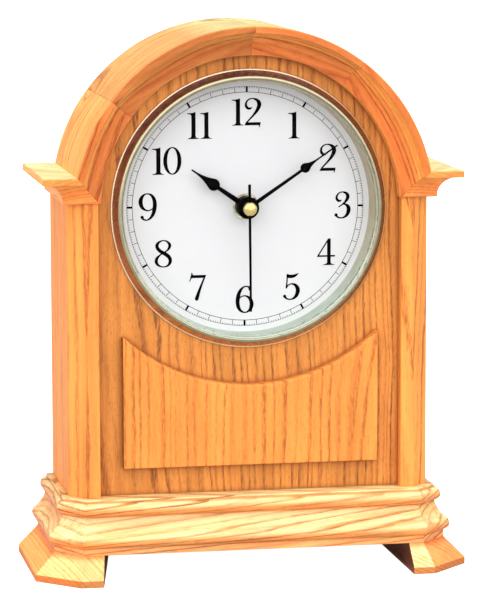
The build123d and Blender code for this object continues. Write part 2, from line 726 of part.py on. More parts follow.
with BuildPart() as front_housing:
    with BuildSketch(move_face(MV_OPEN)):
        RectangleRounded(2 * MV_HALF, 2 * MV_HALF, 3)
    extrude(amount=MV_OPEN - MV_Y0)
    with BuildSketch(move_face(MV_OPEN)):
        with Locations((0, 8.2)):
            Rectangle(53.0, 36.6)
        with Locations((0, -18.95)):
            Rectangle(53.0, 15.3)
    extrude(amount=MV_OPEN - MV_IN, mode=Mode.SUBTRACT)
    rod(BUSH_RO, 6.2, MV_Y0)
    rod(BUSH_RI, 6.2, MV_IN, mode=Mode.SUBTRACT)
    rod(0.8, MV_IN, 15.2, P_MW)
    rod(1.1, MV_IN, 15.4, P_THIRD)
    rod(PIVOT_B, 14.0, 15.4, P_THIRD, Mode.SUBTRACT)
    rod(0.55, 11.0, MV_IN, P_KNOB, Mode.SUBTRACT)
    for c in PILLARS:
        rod(1.6, MV_IN, 18.7, c)
    for c in BOARD_PADS:
        rod(1.2, MV_IN, 12.4, c)
save(front_housing, "front_housing")

STATOR_POSTS = [(5.0, 14.5), (23.5, 12.0)]

with BuildPart() as rear_cover:
    with BuildSketch(move_face(MV_Y1)):
        with Locations((0, 8.35)):
            RectangleRounded(56.0, 39.3, 2)
    extrude(amount=MV_Y1 - MV_OPEN)
    rod(1.2, 22.6, MV_OPEN)
    rod(1.2, 22.5, MV_OPEN, P_FIFTH)
    rod(0.9, 24.5, MV_OPEN, P_ROTOR)
    for c in STATOR_POSTS:
        rod(1.2, 24.0, MV_OPEN, c)
    rod(PIVOT_B, 22.6, 24.6, mode=Mode.SUBTRACT)
    rod(PIVOT_B, 22.5, 24.0, P_FIFTH, Mode.SUBTRACT)
    rod(PIVOT_B, 24.5, 25.3, P_ROTOR, Mode.SUBTRACT)
    rod(1.06, MV_OPEN, MV_Y1, P_KNOB, Mode.SUBTRACT)
save(rear_cover, "rear_cover")

with BuildPart() as train_bridge:
    with BuildSketch(move_face(19.3)):
        with Locations((3.0, 2.5)):
            RectangleRounded(32.0, 24.0, 2)
    extrude(amount=0.6)
    rod(0.56, 18.7, 19.3, mode=Mode.SUBTRACT)
    rod(PIVOT_B, 18.7, 19.3, P_THIRD, Mode.SUBTRACT)
    rod(PIVOT_B, 18.7, 19.3, P_FIFTH, Mode.SUBTRACT)
    rod(PIVOT_B, 18.7, 19.3, P_ROTOR, Mode.SUBTRACT)
save(train_bridge, "train_bridge")

with BuildPart() as hour_wheel:
    gear(40, M_HOUR, A_MWHEEL + 4.5, 12.3, 13.2)
    rod(PIPE_RO, 4.2, 13.2)
    rod(2.3, 3.4, 4.2)
    rod(PIPE_RI, 3.4, 13.2, mode=Mode.SUBTRACT)
save(hour_wheel, "hour_wheel")

with BuildPart() as minute_arbor:
    gear(12, M_MIN, A_MWHEEL, 13.8, 15.1)
    rod(TUBE_MO, 2.2, 17.2)
    rod(1.3, 1.2, 2.2)
    rod(TUBE_MI, 1.2, 17.2, mode=Mode.SUBTRACT)
save(minute_arbor, "minute_arbor")

with BuildPart() as minute_wheel:
    gear(36, M_MIN, 5.0, 14.0, 14.9, P_MW)
    gear(10, M_HOUR, 0.0, 12.2, 13.3, P_MW)
    rod(1.3, 13.3, 14.0, P_MW)
    rod(0.86, 12.2, 14.9, P_MW, Mode.SUBTRACT)
save(minute_wheel, "minute_wheel")

with BuildPart() as centre_wheel:
    gear(60, M_CENTRE, A_THIRD + 3.0, 16.0, 16.7)
    rod(2.8, 15.3, 16.7)
    rod(TUBE_MO + 0.06, 15.3, 16.7, mode=Mode.SUBTRACT)
save(centre_wheel, "centre_wheel")

with BuildPart() as third_wheel:
    gear(64, M_THIRD, A_THIRD + 180 + 180 / 64, 17.7, 18.3, P_THIRD)
    gear(8, M_CENTRE, A_THIRD + 180, 15.8, 16.9, P_THIRD)
    rod(0.6, 15.5, 18.5, P_THIRD)
    rod(PIVOT_R, 14.3, 19.2, P_THIRD)
save(third_wheel, "third_wheel")

with BuildPart() as seconds_wheel:
    gear(60, M_SEC, A_FIFTH + 3.0, 20.0, 20.6)
    gear(8, M_THIRD, A_THIRD, 17.5, 18.5)
    rod(ARBOR_R, SEC_Y0 - 1.0, 22.4)
    rod(PIVOT_R, 22.4, 24.2)
save(seconds_wheel, "seconds_wheel")

with BuildPart() as fifth_wheel:
    gear(50, M_SEC, A_ROTOR + 3.6, 21.5, 22.1, P_FIFTH)
    gear(10, M_SEC, A_FIFTH + 180, 19.8, 20.8, P_FIFTH)
    rod(0.6, 19.5, 22.3, P_FIFTH)
    rod(PIVOT_R, 18.8, 23.6, P_FIFTH)
save(fifth_wheel, "fifth_wheel")

with BuildPart() as rotor:
    gear(10, M_SEC, A_ROTOR + 180, 21.3, 22.3, P_ROTOR)
    rod(0.6, 19.5, 22.8, P_ROTOR)
    rod(2.5, 22.8, 24.2, P_ROTOR)
    rod(PIVOT_R, 18.8, 25.0, P_ROTOR)
save(rotor, "rotor")

with BuildPart() as set_knob:
    gear(12, M_MIN, A_KNOB + 180 + 15, 13.9, 15.0, P_KNOB)
    rod(1.0, 12.2, 27.1, P_KNOB)
    rod(0.5, 11.1, 12.2, P_KNOB)
    with BuildSketch(move_face(31.5)):
        with BuildLine():
            Polyline(*[polar(6.0 if k % 4 in (0, 1) else 5.6, k * 360 / 144, P_KNOB) for k in range(144)], close=True)
        make_face()
    extrude(amount=31.5 - 27.1)
save(set_knob, "set_knob")


def mv(pts):
    return [(x, z + ZB) for x, z in pts]


with BuildPart() as stator:
    rod(5.2, 23.0, 24.0, P_ROTOR)
    plate(mv([(11.2, -0.5), (14.0, 5.5), (7.0, 14.0), (7.0, 21.0), (3.0, 21.0), (3.0, 12.5)]), 23.0, 24.0)
    plate(mv([(18.5, 5.0), (20.5, 1.0), (25.5, 8.0), (25.5, 21.0), (21.5, 21.0), (21.5, 9.0)]), 23.0, 24.0)
    rod(3.0, 23.0, 24.0, P_ROTOR, Mode.SUBTRACT)
    block(3.5, 6.5, 21.5, 23.0, ZB + 17.5, ZB + 20.5)
    block(22.0, 25.0, 21.5, 23.0, ZB + 17.5, ZB + 20.5)
save(stator, "stator")

with BuildPart() as coil_core:
    block(3.0, 25.5, 20.5, 21.5, ZB + 17.5, ZB + 20.5)
save(coil_core, "coil_core")

with BuildPart() as coil:
    with BuildSketch(Plane(origin=(7.6, 21.0 - YC, ZB + 19.0), x_dir=(0, 1, 0), z_dir=(1, 0, 0))):
        Circle(3.9)
    extrude(amount=0.8)
    with BuildSketch(Plane(origin=(8.4, 21.0 - YC, ZB + 19.0), x_dir=(0, 1, 0), z_dir=(1, 0, 0))):
        Circle(3.4)
    extrude(amount=11.7)
    with BuildSketch(Plane(origin=(20.1, 21.0 - YC, ZB + 19.0), x_dir=(0, 1, 0), z_dir=(1, 0, 0))):
        Circle(3.9)
    extrude(amount=0.8)
    block(3.0, 25.5, 20.5, 21.5, ZB + 17.5, ZB + 20.5, Mode.SUBTRACT)
save(coil, "coil")

with BuildPart() as circuit_board:
    block(16.5, 25.5, 12.4, 13.2, ZB - 9.0, ZB + 8.0)
    block(18.0, 21.5, 13.2, 14.2, ZB - 4.0, ZB + 0.5)
save(circuit_board, "circuit_board")

with BuildPart() as crystal:
    with BuildSketch(Plane(origin=(24.0, 14.2 - YC, ZB - 7.5), x_dir=(1, 0, 0), z_dir=(0, 0, 1))):
        Circle(1.0)
    extrude(amount=6.0)
save(crystal, "crystal")

BAT_R = 7.2
BAT_Y = MV_IN + BAT_R
BAT_Z = ZB - 18.95

with BuildPart() as battery:
    with BuildSketch(Plane(origin=(-25.2, BAT_Y - YC, BAT_Z), x_dir=(0, 1, 0), z_dir=(1, 0, 0))):
        Circle(BAT_R)
    extrude(amount=49.1)
    fillet(battery.edges().filter_by(GeomType.CIRCLE), 0.6)
    with BuildSketch(Plane(origin=(23.9, BAT_Y - YC, BAT_Z), x_dir=(0, 1, 0), z_dir=(1, 0, 0))):
        Circle(2.7)
    extrude(amount=1.4)
save(battery, "battery")

with BuildPart() as contact_positive:
    block(26.1, 26.5, 13.0, 25.0, BAT_Z - 5.0, BAT_Z + 5.0)
    with BuildSketch(Plane(origin=(25.3, BAT_Y - YC, BAT_Z), x_dir=(0, 1, 0), z_dir=(1, 0, 0))):
        Circle(1.6)
    extrude(amount=0.8)
save(contact_positive, "contact_positive")

with BuildPart() as contact_negative:
    block(-26.5, -26.1, 13.0, 25.0, BAT_Z - 5.0, BAT_Z + 5.0)
    with BuildSketch(Plane(origin=(-26.1, BAT_Y - YC, BAT_Z), x_dir=(0, 1, 0), z_dir=(1, 0, 0))):
        Circle(4.0)
        Circle(3.2, mode=Mode.SUBTRACT)
    extrude(amount=0.9)
save(contact_negative, "contact_negative")
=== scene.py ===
import math

import bpy
from mathutils import Matrix, Vector, geometry


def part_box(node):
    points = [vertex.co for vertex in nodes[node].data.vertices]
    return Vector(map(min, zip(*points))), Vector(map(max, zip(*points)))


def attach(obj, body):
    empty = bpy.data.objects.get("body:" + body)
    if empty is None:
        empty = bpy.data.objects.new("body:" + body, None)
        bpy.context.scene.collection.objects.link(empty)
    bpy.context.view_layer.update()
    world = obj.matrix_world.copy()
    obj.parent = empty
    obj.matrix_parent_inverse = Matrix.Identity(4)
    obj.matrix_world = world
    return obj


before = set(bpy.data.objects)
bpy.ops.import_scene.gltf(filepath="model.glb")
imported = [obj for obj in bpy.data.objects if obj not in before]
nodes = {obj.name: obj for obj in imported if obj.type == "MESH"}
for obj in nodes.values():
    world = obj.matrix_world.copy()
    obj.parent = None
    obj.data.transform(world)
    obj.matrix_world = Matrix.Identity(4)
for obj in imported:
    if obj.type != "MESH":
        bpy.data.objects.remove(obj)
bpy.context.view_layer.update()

scene = bpy.context.scene
MM = 0.001

# ---------------------------------------------------------------------------
# Camera: long lens, a little left of the clock and above it, looking down
# ---------------------------------------------------------------------------
EYE = Vector((-0.2793325, -1.5208087, 0.3389335))
YAW, PITCH, ROLL = (math.radians(a) for a in (10.382454, 7.848763, -0.154242))
F_PX, LONG_SIDE = 3307.32, 600

ahead = Vector((math.sin(YAW), math.cos(YAW), 0))
level = Vector((math.cos(YAW), -math.sin(YAW), 0))
zenith = Vector((0, 0, 1))
look = ahead * math.cos(PITCH) - zenith * math.sin(PITCH)
top = zenith * math.cos(PITCH) + ahead * math.sin(PITCH)
right = level * math.cos(ROLL) + top * math.sin(ROLL)
upward = top * math.cos(ROLL) - level * math.sin(ROLL)

camera = bpy.data.objects.new("camera", bpy.data.cameras.new("camera"))
scene.collection.objects.link(camera)
camera.data.sensor_width = 36.0
camera.data.lens = 36.0 * F_PX / LONG_SIDE
camera.data.clip_start, camera.data.clip_end = 0.05, 100
camera.matrix_world = Matrix.Translation(EYE) @ Matrix((right, upward, -look)).transposed().to_4x4()
scene.camera = camera
scene.view_settings.view_transform = "Standard"
scene.view_settings.look = "None"


# ---------------------------------------------------------------------------
# Shader building
# ---------------------------------------------------------------------------
class Shader:
    """A material with one principled shader, and short names for the nodes behind it."""

    def __init__(self, name, **sockets):
        self.mat = bpy.data.materials.new(name)
        self.mat.use_nodes = True
        self.tree = self.mat.node_tree
        self.tree.nodes.clear()
        out = self.add("ShaderNodeOutputMaterial")
        self.bsdf = self.add("ShaderNodeBsdfPrincipled")
        self.tree.links.new(self.bsdf.outputs[0], out.inputs[0])
        for socket, value in sockets.items():
            self.set(socket.replace("_", " "), value)

    def add(self, kind, **props):
        n = self.tree.nodes.new(kind)
        for k, v in props.items():
            setattr(n, k, v)
        return n

    def join(self, socket, value):
        if isinstance(value, bpy.types.NodeSocket):
            self.tree.links.new(value, socket)
        elif value is not None:
            if hasattr(socket.default_value, "__len__") and len(socket.default_value) == 4 and len(value) == 3:
                value = (*value, 1.0)
            socket.default_value = value

    def set(self, name, value):
        self.join(self.bsdf.inputs[name], value)

    def math(self, op, a, b=None, clamp=False):
        n = self.add("ShaderNodeMath", operation=op, use_clamp=clamp)
        self.join(n.inputs[0], a)
        self.join(n.inputs[1], b)
        return n.outputs[0]

    def vec(self, op, a, b=None):
        n = self.add("ShaderNodeVectorMath", operation=op)
        self.join(n.inputs[0], a)
        self.join(n.inputs[1], b)
        return n.outputs["Value" if op in ("DOT_PRODUCT", "LENGTH") else "Vector"]

    def xyz(self, x, y, z):
        n = self.add("ShaderNodeCombineXYZ")
        for s, v in zip(n.inputs, (x, y, z)):
            self.join(s, v)
        return n.outputs[0]

    def split(self, v):
        n = self.add("ShaderNodeSeparateXYZ")
        self.join(n.inputs[0], v)
        return n.outputs

    def place(self):
        """Position on the piece at rest, in metres."""
        return self.add("ShaderNodeTexCoord").outputs["Object"]

    def noise(self, v, scale=1.0, detail=2.0, rough=0.5, colour=False):
        n = self.add("ShaderNodeTexNoise")
        self.join(n.inputs["Vector"], v)
        n.inputs["Scale"].default_value = scale
        n.inputs["Detail"].default_value = detail
        n.inputs["Roughness"].default_value = rough
        return n.outputs["Color" if colour else "Fac"]

    def random(self, w):
        n = self.add("ShaderNodeTexWhiteNoise", noise_dimensions="1D")
        self.join(n.inputs["W"], w)
        return n.outputs["Value"]

    def span(self, v, a, b, c=0.0, d=1.0, smooth=True):
        n = self.add("ShaderNodeMapRange", interpolation_type="SMOOTHSTEP" if smooth else "LINEAR")
        for s, x in zip(n.inputs, (v, a, b, c, d)):
            self.join(s, x)
        return n.outputs[0]

    def ramp(self, fac, stops):
        n = self.add("ShaderNodeValToRGB")
        e = n.color_ramp.elements
        while len(e) < len(stops):
            e.new(1.0)
        for el, (pos, col) in zip(e, stops):
            el.position = pos
            el.color = (col, col, col, 1) if isinstance(col, (int, float)) else (*col, 1)
        self.join(n.inputs[0], fac)
        return n.outputs[0]

    def mix(self, fac, a, b, mode="MIX"):
        n = self.add("ShaderNodeMix", data_type="RGBA", blend_type=mode)
        self.join(n.inputs[0], fac)
        self.join(n.inputs[6], a)
        self.join(n.inputs[7], b)
        return n.outputs[2]

    def relief(self, height, depth, strength=1.0, edge=0.0):
        """Bump of that depth in metres, over edges that are softened by a small radius."""
        b = self.add("ShaderNodeBump")
        b.inputs["Strength"].default_value = strength
        b.inputs["Distance"].default_value = depth
        self.join(b.inputs["Height"], height)
        if edge:
            soft = self.add("ShaderNodeBevel", samples=4)
            soft.inputs["Radius"].default_value = edge
            self.tree.links.new(soft.outputs[0], b.inputs["Normal"])
        self.set("Normal", b.outputs[0])


def dress(material, *names):
    for n in names:
        o = nodes[n]
        if not o.material_slots:
            o.data.materials.append(material)
        for s in o.material_slots:
            s.link = "OBJECT"
            s.material = material


# ---------------------------------------------------------------------------
# Wood: lacquered ash, cut from a log whose rings run round a given axis
# ---------------------------------------------------------------------------
def wood(name, along, pith, spacing=2.2, light=(0.76, 0.305, 0.068), mid=(0.60, 0.20, 0.042), dark=(0.27, 0.085, 0.022),
         wobble=3.5, pores=1.0, bands=1.0, seed=0.0, rough=0.46, seams=(), blotch=0.10, ends=0.25, edge=None, gloss=0.16, open_part=1.0, least=0.15, painted_crease_shade=0.0,
         short=1.0, painted_facing_light=(), speckle=0.22, ragged=0.9, dense=1.0, top=None):
    """along: direction of the grain. pith: a point on the log's axis in mm. spacing: ring width in mm.
    seams: (point in mm, normal) of glued joints that show as a thin dark line.
    ends: how much darker the end grain is. edge: (direction, amount) of painted shade on the side that looks that way.
    open_part: how much of each ring is open early wood, against the usual third. least: pores of the quietest ring.
    painted_crease_shade: how much painted shade darkens the creases against other pieces. short: length of the vessels
    against the usual.
    painted_facing_light: (direction, from, to, colour) of painted light and shade that makes faces looking that way
    lighter or darker. speckle: short fine dashes. ragged: unevenness of the ring edges in mm.
    dense: tone of the dense late wood. top: (from, to, colour) of a painted shadow band between two heights in mm."""
    s = Shader(name, Specular_IOR_Level=gloss)
    ez = Vector(along).normalized()
    ex = (Vector((0, 1, 0)) if abs(ez.y) < 0.7 else Vector((1, 0, 0))).cross(ez).normalized()
    ey = ez.cross(ex)
    here = s.vec("SUBTRACT", s.place(), Vector(pith) * MM)
    u = s.vec("DOT_PRODUCT", here, ex * 1000)
    v = s.vec("DOT_PRODUCT", here, ey * 1000)
    w = s.vec("DOT_PRODUCT", here, ez * 1000)
    q = s.xyz(u, v, w)

    # the rings wander slowly along the log, and their edges are ragged
    slow = s.noise(s.vec("ADD", s.vec("MULTIPLY", q, (1 / 34, 1 / 34, 1 / 120)), (seed, seed * 1.7, seed * 0.6)), 1, 2, 0.45, True)
    quick = s.noise(s.vec("ADD", s.vec("MULTIPLY", q, (1 / 2.6, 1 / 2.6, 1 / 14)), (seed * 2.1, seed, 3.1)), 1, 2, 0.6, True)
    bent = s.vec("ADD", s.xyz(u, v, 0),
                 s.vec("ADD", s.vec("MULTIPLY", s.vec("SUBTRACT", slow, (0.5, 0.5, 0.5)), (2 * wobble, 2 * wobble, 0)),
                       s.vec("MULTIPLY", s.vec("SUBTRACT", quick, (0.5, 0.5, 0.5)), (ragged, ragged, 0))))
    radius = s.vec("LENGTH", bent)
    uneven = s.noise(s.xyz(s.math("MULTIPLY", radius, 1 / 7), seed, 0), 1, 1)
    turns = s.math("ADD", s.math("MULTIPLY", radius, 1 / spacing), s.math("MULTIPLY", uneven, 2.4))
    ring = s.math("FLOOR", turns)
    part = s.math("FRACT", turns)
    luck = s.random(s.math("ADD", ring, seed * 13.7))

    # open early wood at the start of each ring, dense late wood after it
    k = open_part
    early = s.ramp(part, [(0.0, 0.0), (0.03 * k, 0.85), (0.10 * k, 1.0), (0.22 * k, 0.75), (0.34 * k, 0.25), (0.50 * k, 0.05), (1.0, 0.0)])
    early = s.math("MULTIPLY", early, s.span(luck, 0, 1, least, 1.15, False))
    late = s.ramp(part, [(0.0, 0.45 * dense), (0.05, 0.0), (0.55, 0.0), (0.97, 0.55 * dense), (1.0, 0.45 * dense)])

    # vessels: short dark strokes along the grain, crowded in the early wood
    fine = s.noise(s.vec("ADD", s.vec("MULTIPLY", q, (1 / 0.55, 1 / 0.55, 1 / (6.0 * short))), (seed, 0, seed)), 1, 2, 0.55)
    wide = s.noise(s.vec("ADD", s.vec("MULTIPLY", q, (1 / 1.1, 1 / 1.1, 1 / (15 * short))), (0, seed, seed)), 1, 2, 0.55)
    vessel = s.math("ADD", s.span(fine, 0.38, 0.60, 0.0, 0.70), s.span(wide, 0.40, 0.62, 0.12, 0.55))
    stray = s.math("MULTIPLY", s.span(fine, 0.58, 0.72), 0.30)
    pore = s.math("ADD", s.math("MULTIPLY", vessel, early), stray, True)

    # fibres and slow changes of tone
    fibre = s.noise(s.vec("ADD", s.vec("MULTIPLY", q, (1 / 1.3, 1 / 1.3, 1 / 70)), (seed, seed, 0)), 1, 3, 0.6)
    tone = s.noise(s.vec("ADD", s.vec("MULTIPLY", q, (1 / 16, 1 / 16, 1 / 110)), (seed * 3, 0, seed)), 1, 2)
    stripe = s.noise(s.vec("ADD", s.vec("MULTIPLY", q, (1 / 3.4, 1 / 3.4, 1 / 55)), (seed, 0, seed * 2)), 1, 2, 0.55)
    grain = s.math("ADD", s.math("MULTIPLY", s.math("SUBTRACT", fibre, 0.46), 1.3), s.math("MULTIPLY", s.math("SUBTRACT", stripe, 0.46), 1.5))
    body = s.math("ADD", s.math("MULTIPLY", s.math("MAXIMUM", early, late), 0.75 * bands), grain, True)
    colour = s.mix(body, light, mid)
    dash = s.noise(s.vec("ADD", s.vec("MULTIPLY", q, (1 / 0.5, 1 / 0.5, 1 / 2.6)), (seed, 7.0, 0)), 1, 2, 0.6)
    colour = s.mix(s.span(dash, 0.50, 0.72, 0.0, speckle), colour, dark)
    colour = s.mix(s.math("MULTIPLY", pore, pores, True), colour, dark)
    shade = s.span(tone, 0.3, 0.7, 1 - blotch, 1 + blotch)
    facing = s.add("ShaderNodeTexCoord").outputs["Normal"]
    cut = s.math("POWER", s.math("ABSOLUTE", s.vec("DOT_PRODUCT", facing, ez)), 3.0)
    shade = s.math("MULTIPLY", shade, s.span(cut, 0, 1, 1.0, 1.0 - ends, False))
    # Painted shade on the side that looks the given way.
    if edge:
        shade = s.math("MULTIPLY", shade, s.span(s.vec("DOT_PRODUCT", facing, Vector(edge[0])), 0.6, 0.9, 1.0, 1.0 - edge[1]))
    colour = s.mix(1.0, colour, s.xyz(shade, shade, shade), "MULTIPLY")
    # Painted light and shade: faces turned a given way get a lighter or darker colour, as if lit or shaded.
    for towards, low, high, tint in painted_facing_light:
        colour = s.mix(s.span(s.vec("DOT_PRODUCT", facing, Vector(towards).normalized()), low, high), colour,
                       s.mix(1.0, colour, tint, "MULTIPLY"))
    # Painted shadow: a darker band between two heights, standing in for shade under the piece above.
    if top:
        colour = s.mix(s.span(s.split(s.vec("MULTIPLY", s.place(), (1000, 1000, 1000)))[2], top[0], top[1]), colour,
                       s.mix(1.0, colour, top[2], "MULTIPLY"))
    # Painted shade: creases and corners against other pieces are darkened by how hidden they are.
    if painted_crease_shade:
        crease_occlusion = s.add("ShaderNodeAmbientOcclusion", samples=6)
        crease_occlusion.inputs["Distance"].default_value = 0.0028
        colour = s.mix(s.span(crease_occlusion.outputs["AO"], 0.45, 0.95, painted_crease_shade, 0.0), colour, dark)
    for point, normal, strength in seams:
        away = s.math("ABSOLUTE", s.vec("DOT_PRODUCT", s.vec("SUBTRACT", s.place(), Vector(point) * MM), Vector(normal).normalized() * 1000))
        colour = s.mix(s.span(away, 0.08, 0.30, strength, 0.0), colour, dark)
    s.set("Base Color", colour)
    s.set("Roughness", s.math("ADD", s.math("MULTIPLY", pore, 0.2), s.span(fibre, 0.3, 0.7, rough - 0.04, rough + 0.05)))
    s.relief(s.math("SUBTRACT", s.math("MULTIPLY", fibre, 0.25), pore), 0.00008, 0.8, 0.0004)
    return s.mat


ARCH_Z = 172.3
PANEL_Y = -17.9


def on_arch(angle, radius, y):
    a = math.radians(angle)
    return (radius * math.cos(a), y, ARCH_Z + radius * math.sin(a))


def chord(angle):
    a = math.radians(angle)
    return (-math.sin(a), 0.0, math.cos(a))


def seam(angle, strength):
    return ((0, 0, ARCH_Z), chord(angle), strength)


dress(wood("wood_panel", (0.02, 0.04, 1), (-92, PANEL_Y + 110, 110), 2.4, light=(0.635, 0.242, 0.050), mid=(0.48, 0.156, 0.031), dark=(0.22, 0.070, 0.018),
           seed=2.3, ends=0.1, pores=1.0, least=0.25, painted_crease_shade=0.7, short=0.7, speckle=0.32), "front_panel")
# The tablet's left edge face gets painted shade.
dress(wood("wood_tablet", (-0.02, 0.05, 1), (110, PANEL_Y + 90, 80), 3.6, light=(0.80, 0.272, 0.054), mid=(0.68, 0.196, 0.034),
           dark=(0.34, 0.104, 0.023), pores=0.9, bands=0.8, seed=5.1, short=0.6, least=0.35, speckle=0.32, edge=((-1, 0, 0), 0.6)), "raised_tablet")
dress(wood("wood_left_side", (0.003, 0.004, 1), (-10, 150, 100), 2.3, light=(0.80, 0.280, 0.058), mid=(0.66, 0.185, 0.034),
           dark=(0.36, 0.106, 0.024), pores=0.95, least=0.4, seed=7.7, short=0.8, wobble=1.5), "left_side")
dress(wood("wood_right_side", (-0.015, 0.02, 1), (40, 120, 100), 2.4, light=(0.86, 0.325, 0.068), mid=(0.73, 0.235, 0.044),
           dark=(0.38, 0.115, 0.026), pores=1.05, seed=9.2, short=0.8, least=0.35), "right_side")
# Arch: painted shade darkens the front faces, and painted light makes upward faces and the crest paler.
ARCH = dict(light=(0.86, 0.360, 0.090), mid=(0.68, 0.205, 0.042), dark=(0.26, 0.066, 0.015), pores=0.7, bands=1.2, gloss=0.2, speckle=0.25,
            ragged=0.5, painted_facing_light=[((0, -1, 0), 0.45, 0.95, (0.72, 0.50, 0.45)), ((0, 0, 1), 0.45, 0.95, (1.05, 1.32, 1.70)),
                               ((0, 0, 1), 0.93, 1.0, (1.0, 1.60, 2.20))])
RIGHT = dict(ARCH, light=(0.94, 0.375, 0.084), mid=(0.78, 0.235, 0.043))
DARK = dict(ARCH, light=(0.70, 0.315, 0.078), mid=(0.52, 0.170, 0.036))
LEFT = dict(ARCH, light=(0.94, 0.410, 0.102), mid=(0.80, 0.265, 0.054))
dress(wood("wood_arch_lower_right", chord(26), on_arch(26, 40, 40), 2.6, seed=11.4, seams=[seam(52.6, 0.25)], **RIGHT), "arch_lower_right")
dress(wood("wood_arch_upper_right", chord(71), on_arch(71, 50, 30), 2.8, seed=13.9, seams=[seam(52.6, 0.25), seam(90, 0.2)], **ARCH),
      "arch_upper_right")
dress(wood("wood_arch_upper_left", chord(116), on_arch(116, 46, 34), 3.0, seed=15.2, seams=[seam(90, 0.2), seam(142.6, 0.5)], **DARK),
      "arch_upper_left")
dress(wood("wood_arch_lower_left", chord(160), on_arch(160, 44, 30), 2.8, seed=18.8, seams=[seam(142.6, 0.5)], **LEFT), "arch_lower_left")
# Capitals: painted light makes the top faces pale, and painted shade darkens the front coves.
CAPITAL = dict(light=(0.90, 0.370, 0.082), mid=(0.80, 0.255, 0.045), dark=(0.40, 0.105, 0.022), pores=0.6, wobble=2.0, ends=0.0, gloss=0.35,
               painted_facing_light=[((0, 0, 1), 0.6, 0.95, (1.06, 2.15, 4.80)), ((0, -1, 0), 0.4, 0.9, (0.97, 0.72, 0.64))])
dress(wood("wood_left_capital", (-0.8, 1, 0.02), (-90, 0, 130), 1.8, seed=21.0, **CAPITAL), "left_capital")
dress(wood("wood_right_capital", (0.8, 1, -0.02), (95, 0, 130), 1.8, seed=23.5, **CAPITAL), "right_capital")
# Plinth: painted shade darkens downward and left-facing faces, painted light makes upward faces paler, and painted
# shade fills the creases.
dress(wood("wood_plinth", (1, 0.04, 0.10), (0, 14, -110), 2.5, light=(0.86, 0.51, 0.190), mid=(0.66, 0.210, 0.030),
           dark=(0.30, 0.092, 0.015), pores=1.0, bands=1.5, wobble=2.4, seed=26.1, least=0.3, ragged=0.5, dense=0.3, rough=0.36, gloss=0.6, open_part=0.9, ends=0.2, painted_crease_shade=0.45,
           painted_facing_light=[((0, 0, -1), -0.45, 0.25, (0.94, 0.64, 0.44)), ((-1, 0, 0), 0.5, 0.95, (1.0, 0.74, 0.54)),
                  ((0, 0, 1), 0.3, 0.95, (1.0, 1.35, 1.75))]), "plinth")
# On the feet, painted shadow darkens a band just under the plinth, and painted shade fills their creases.
FOOT = dict(light=(0.92, 0.540, 0.210), mid=(0.84, 0.415, 0.120), dark=(0.42, 0.150, 0.036), pores=0.5, wobble=2.0, ends=0.1, gloss=0.4, painted_crease_shade=0.4,
            top=(9.6, 12.9, (0.86, 0.50, 0.34)))
# Left foot: painted shade on the left slope, the vertical bottom band and the nearly black inner face.
dress(wood("wood_left_foot", (-0.10, 1, 0.05), (-128, 0, -34), 1.8, seed=28.4, **FOOT,
           painted_facing_light=[((-1, 0, 0), 0.58, 0.68, (0.92, 0.67, 0.44)), ((0, 0, -1), -0.35, -0.05, (0.70, 0.45, 0.28)), ((1, 0, 0), 0.7, 0.95, (0.16, 0.12, 0.14))]), "left_foot")
# Right foot: painted shade on the right slope, the vertical bottom band and the inner face, painted light on the front
# slope.
dress(wood("wood_right_foot", (-0.10, 1, 0.05), (50, 0, -46), 1.8, seed=31.6, **FOOT,
           painted_facing_light=[((0.6, -0.45, 0.6), 0.6, 0.9, (0.92, 0.64, 0.47)), ((0, 0, -1), -0.35, -0.05, (0.70, 0.45, 0.28)), ((-1, 0, 0), 0.7, 0.95, (0.20, 0.13, 0.13)),
                  ((-0.3, -0.7, 0.65), 0.87, 0.96, (1.06, 1.50, 2.10))]), "right_foot")
BACK = dict(light=(0.66, 0.280, 0.075), mid=(0.52, 0.190, 0.046), dark=(0.24, 0.080, 0.024), pores=0.8, rough=0.52)
dress(wood("wood_back", (0.02, 0.05, 1), (-20, 125, 120), 2.6, seed=34.0, **BACK), "back_panel")
dress(wood("wood_door", (-0.03, 0.05, 1), (14, 120, 120), 2.6, seed=37.3, **BACK), "back_door")
dress(wood("wood_inner", (0, 0.02, 1), (-20, 20, 0), 2.2, light=(0.66, 0.42, 0.20), mid=(0.56, 0.32, 0.135), dark=(0.32, 0.16, 0.06),
           pores=0.5, seed=40.7, rough=0.6), "left_cleat", "right_cleat", "glue_blocks")


# ---------------------------------------------------------------------------
# Metals, plastics, glass
# ---------------------------------------------------------------------------
def metal(name, colour, rough=0.2, wear=0.08, turned=None, grain=1 / 0.22, lines=0.00002):
    """turned: (axis, point in mm) of the lathe marks, or None for a plain rolled surface."""
    s = Shader(name, Metallic=1.0)
    p = s.place()
    smear = s.noise(s.vec("MULTIPLY", p, (160, 160, 160)), 1, 3, 0.6)
    if turned:
        axis, point = turned
        d = s.vec("SUBTRACT", p, Vector(point) * MM)
        along = s.vec("DOT_PRODUCT", d, Vector(axis))
        out = s.vec("LENGTH", s.vec("SUBTRACT", d, s.vec("MULTIPLY", s.xyz(along, along, along), Vector(axis))))
        marks = s.noise(s.xyz(s.math("MULTIPLY", out, 1000 * grain), s.math("MULTIPLY", along, 1000 * grain), 0), 1, 2)
    else:
        marks = s.noise(s.vec("MULTIPLY", p, (1000 * grain, 1000 * grain, 60)), 1, 2)
    tint = s.span(smear, 0.3, 0.7, 1 - wear, 1.0)
    s.set("Base Color", s.mix(1.0, colour, s.xyz(tint, tint, s.math("MULTIPLY", tint, tint)), "MULTIPLY"))
    s.set("Roughness", s.math("ADD", s.span(smear, 0.3, 0.75, rough * 0.75, rough * 1.25), s.math("MULTIPLY", marks, 0.04)))
    s.relief(marks, lines, 0.5, 0.00015)
    return s.mat


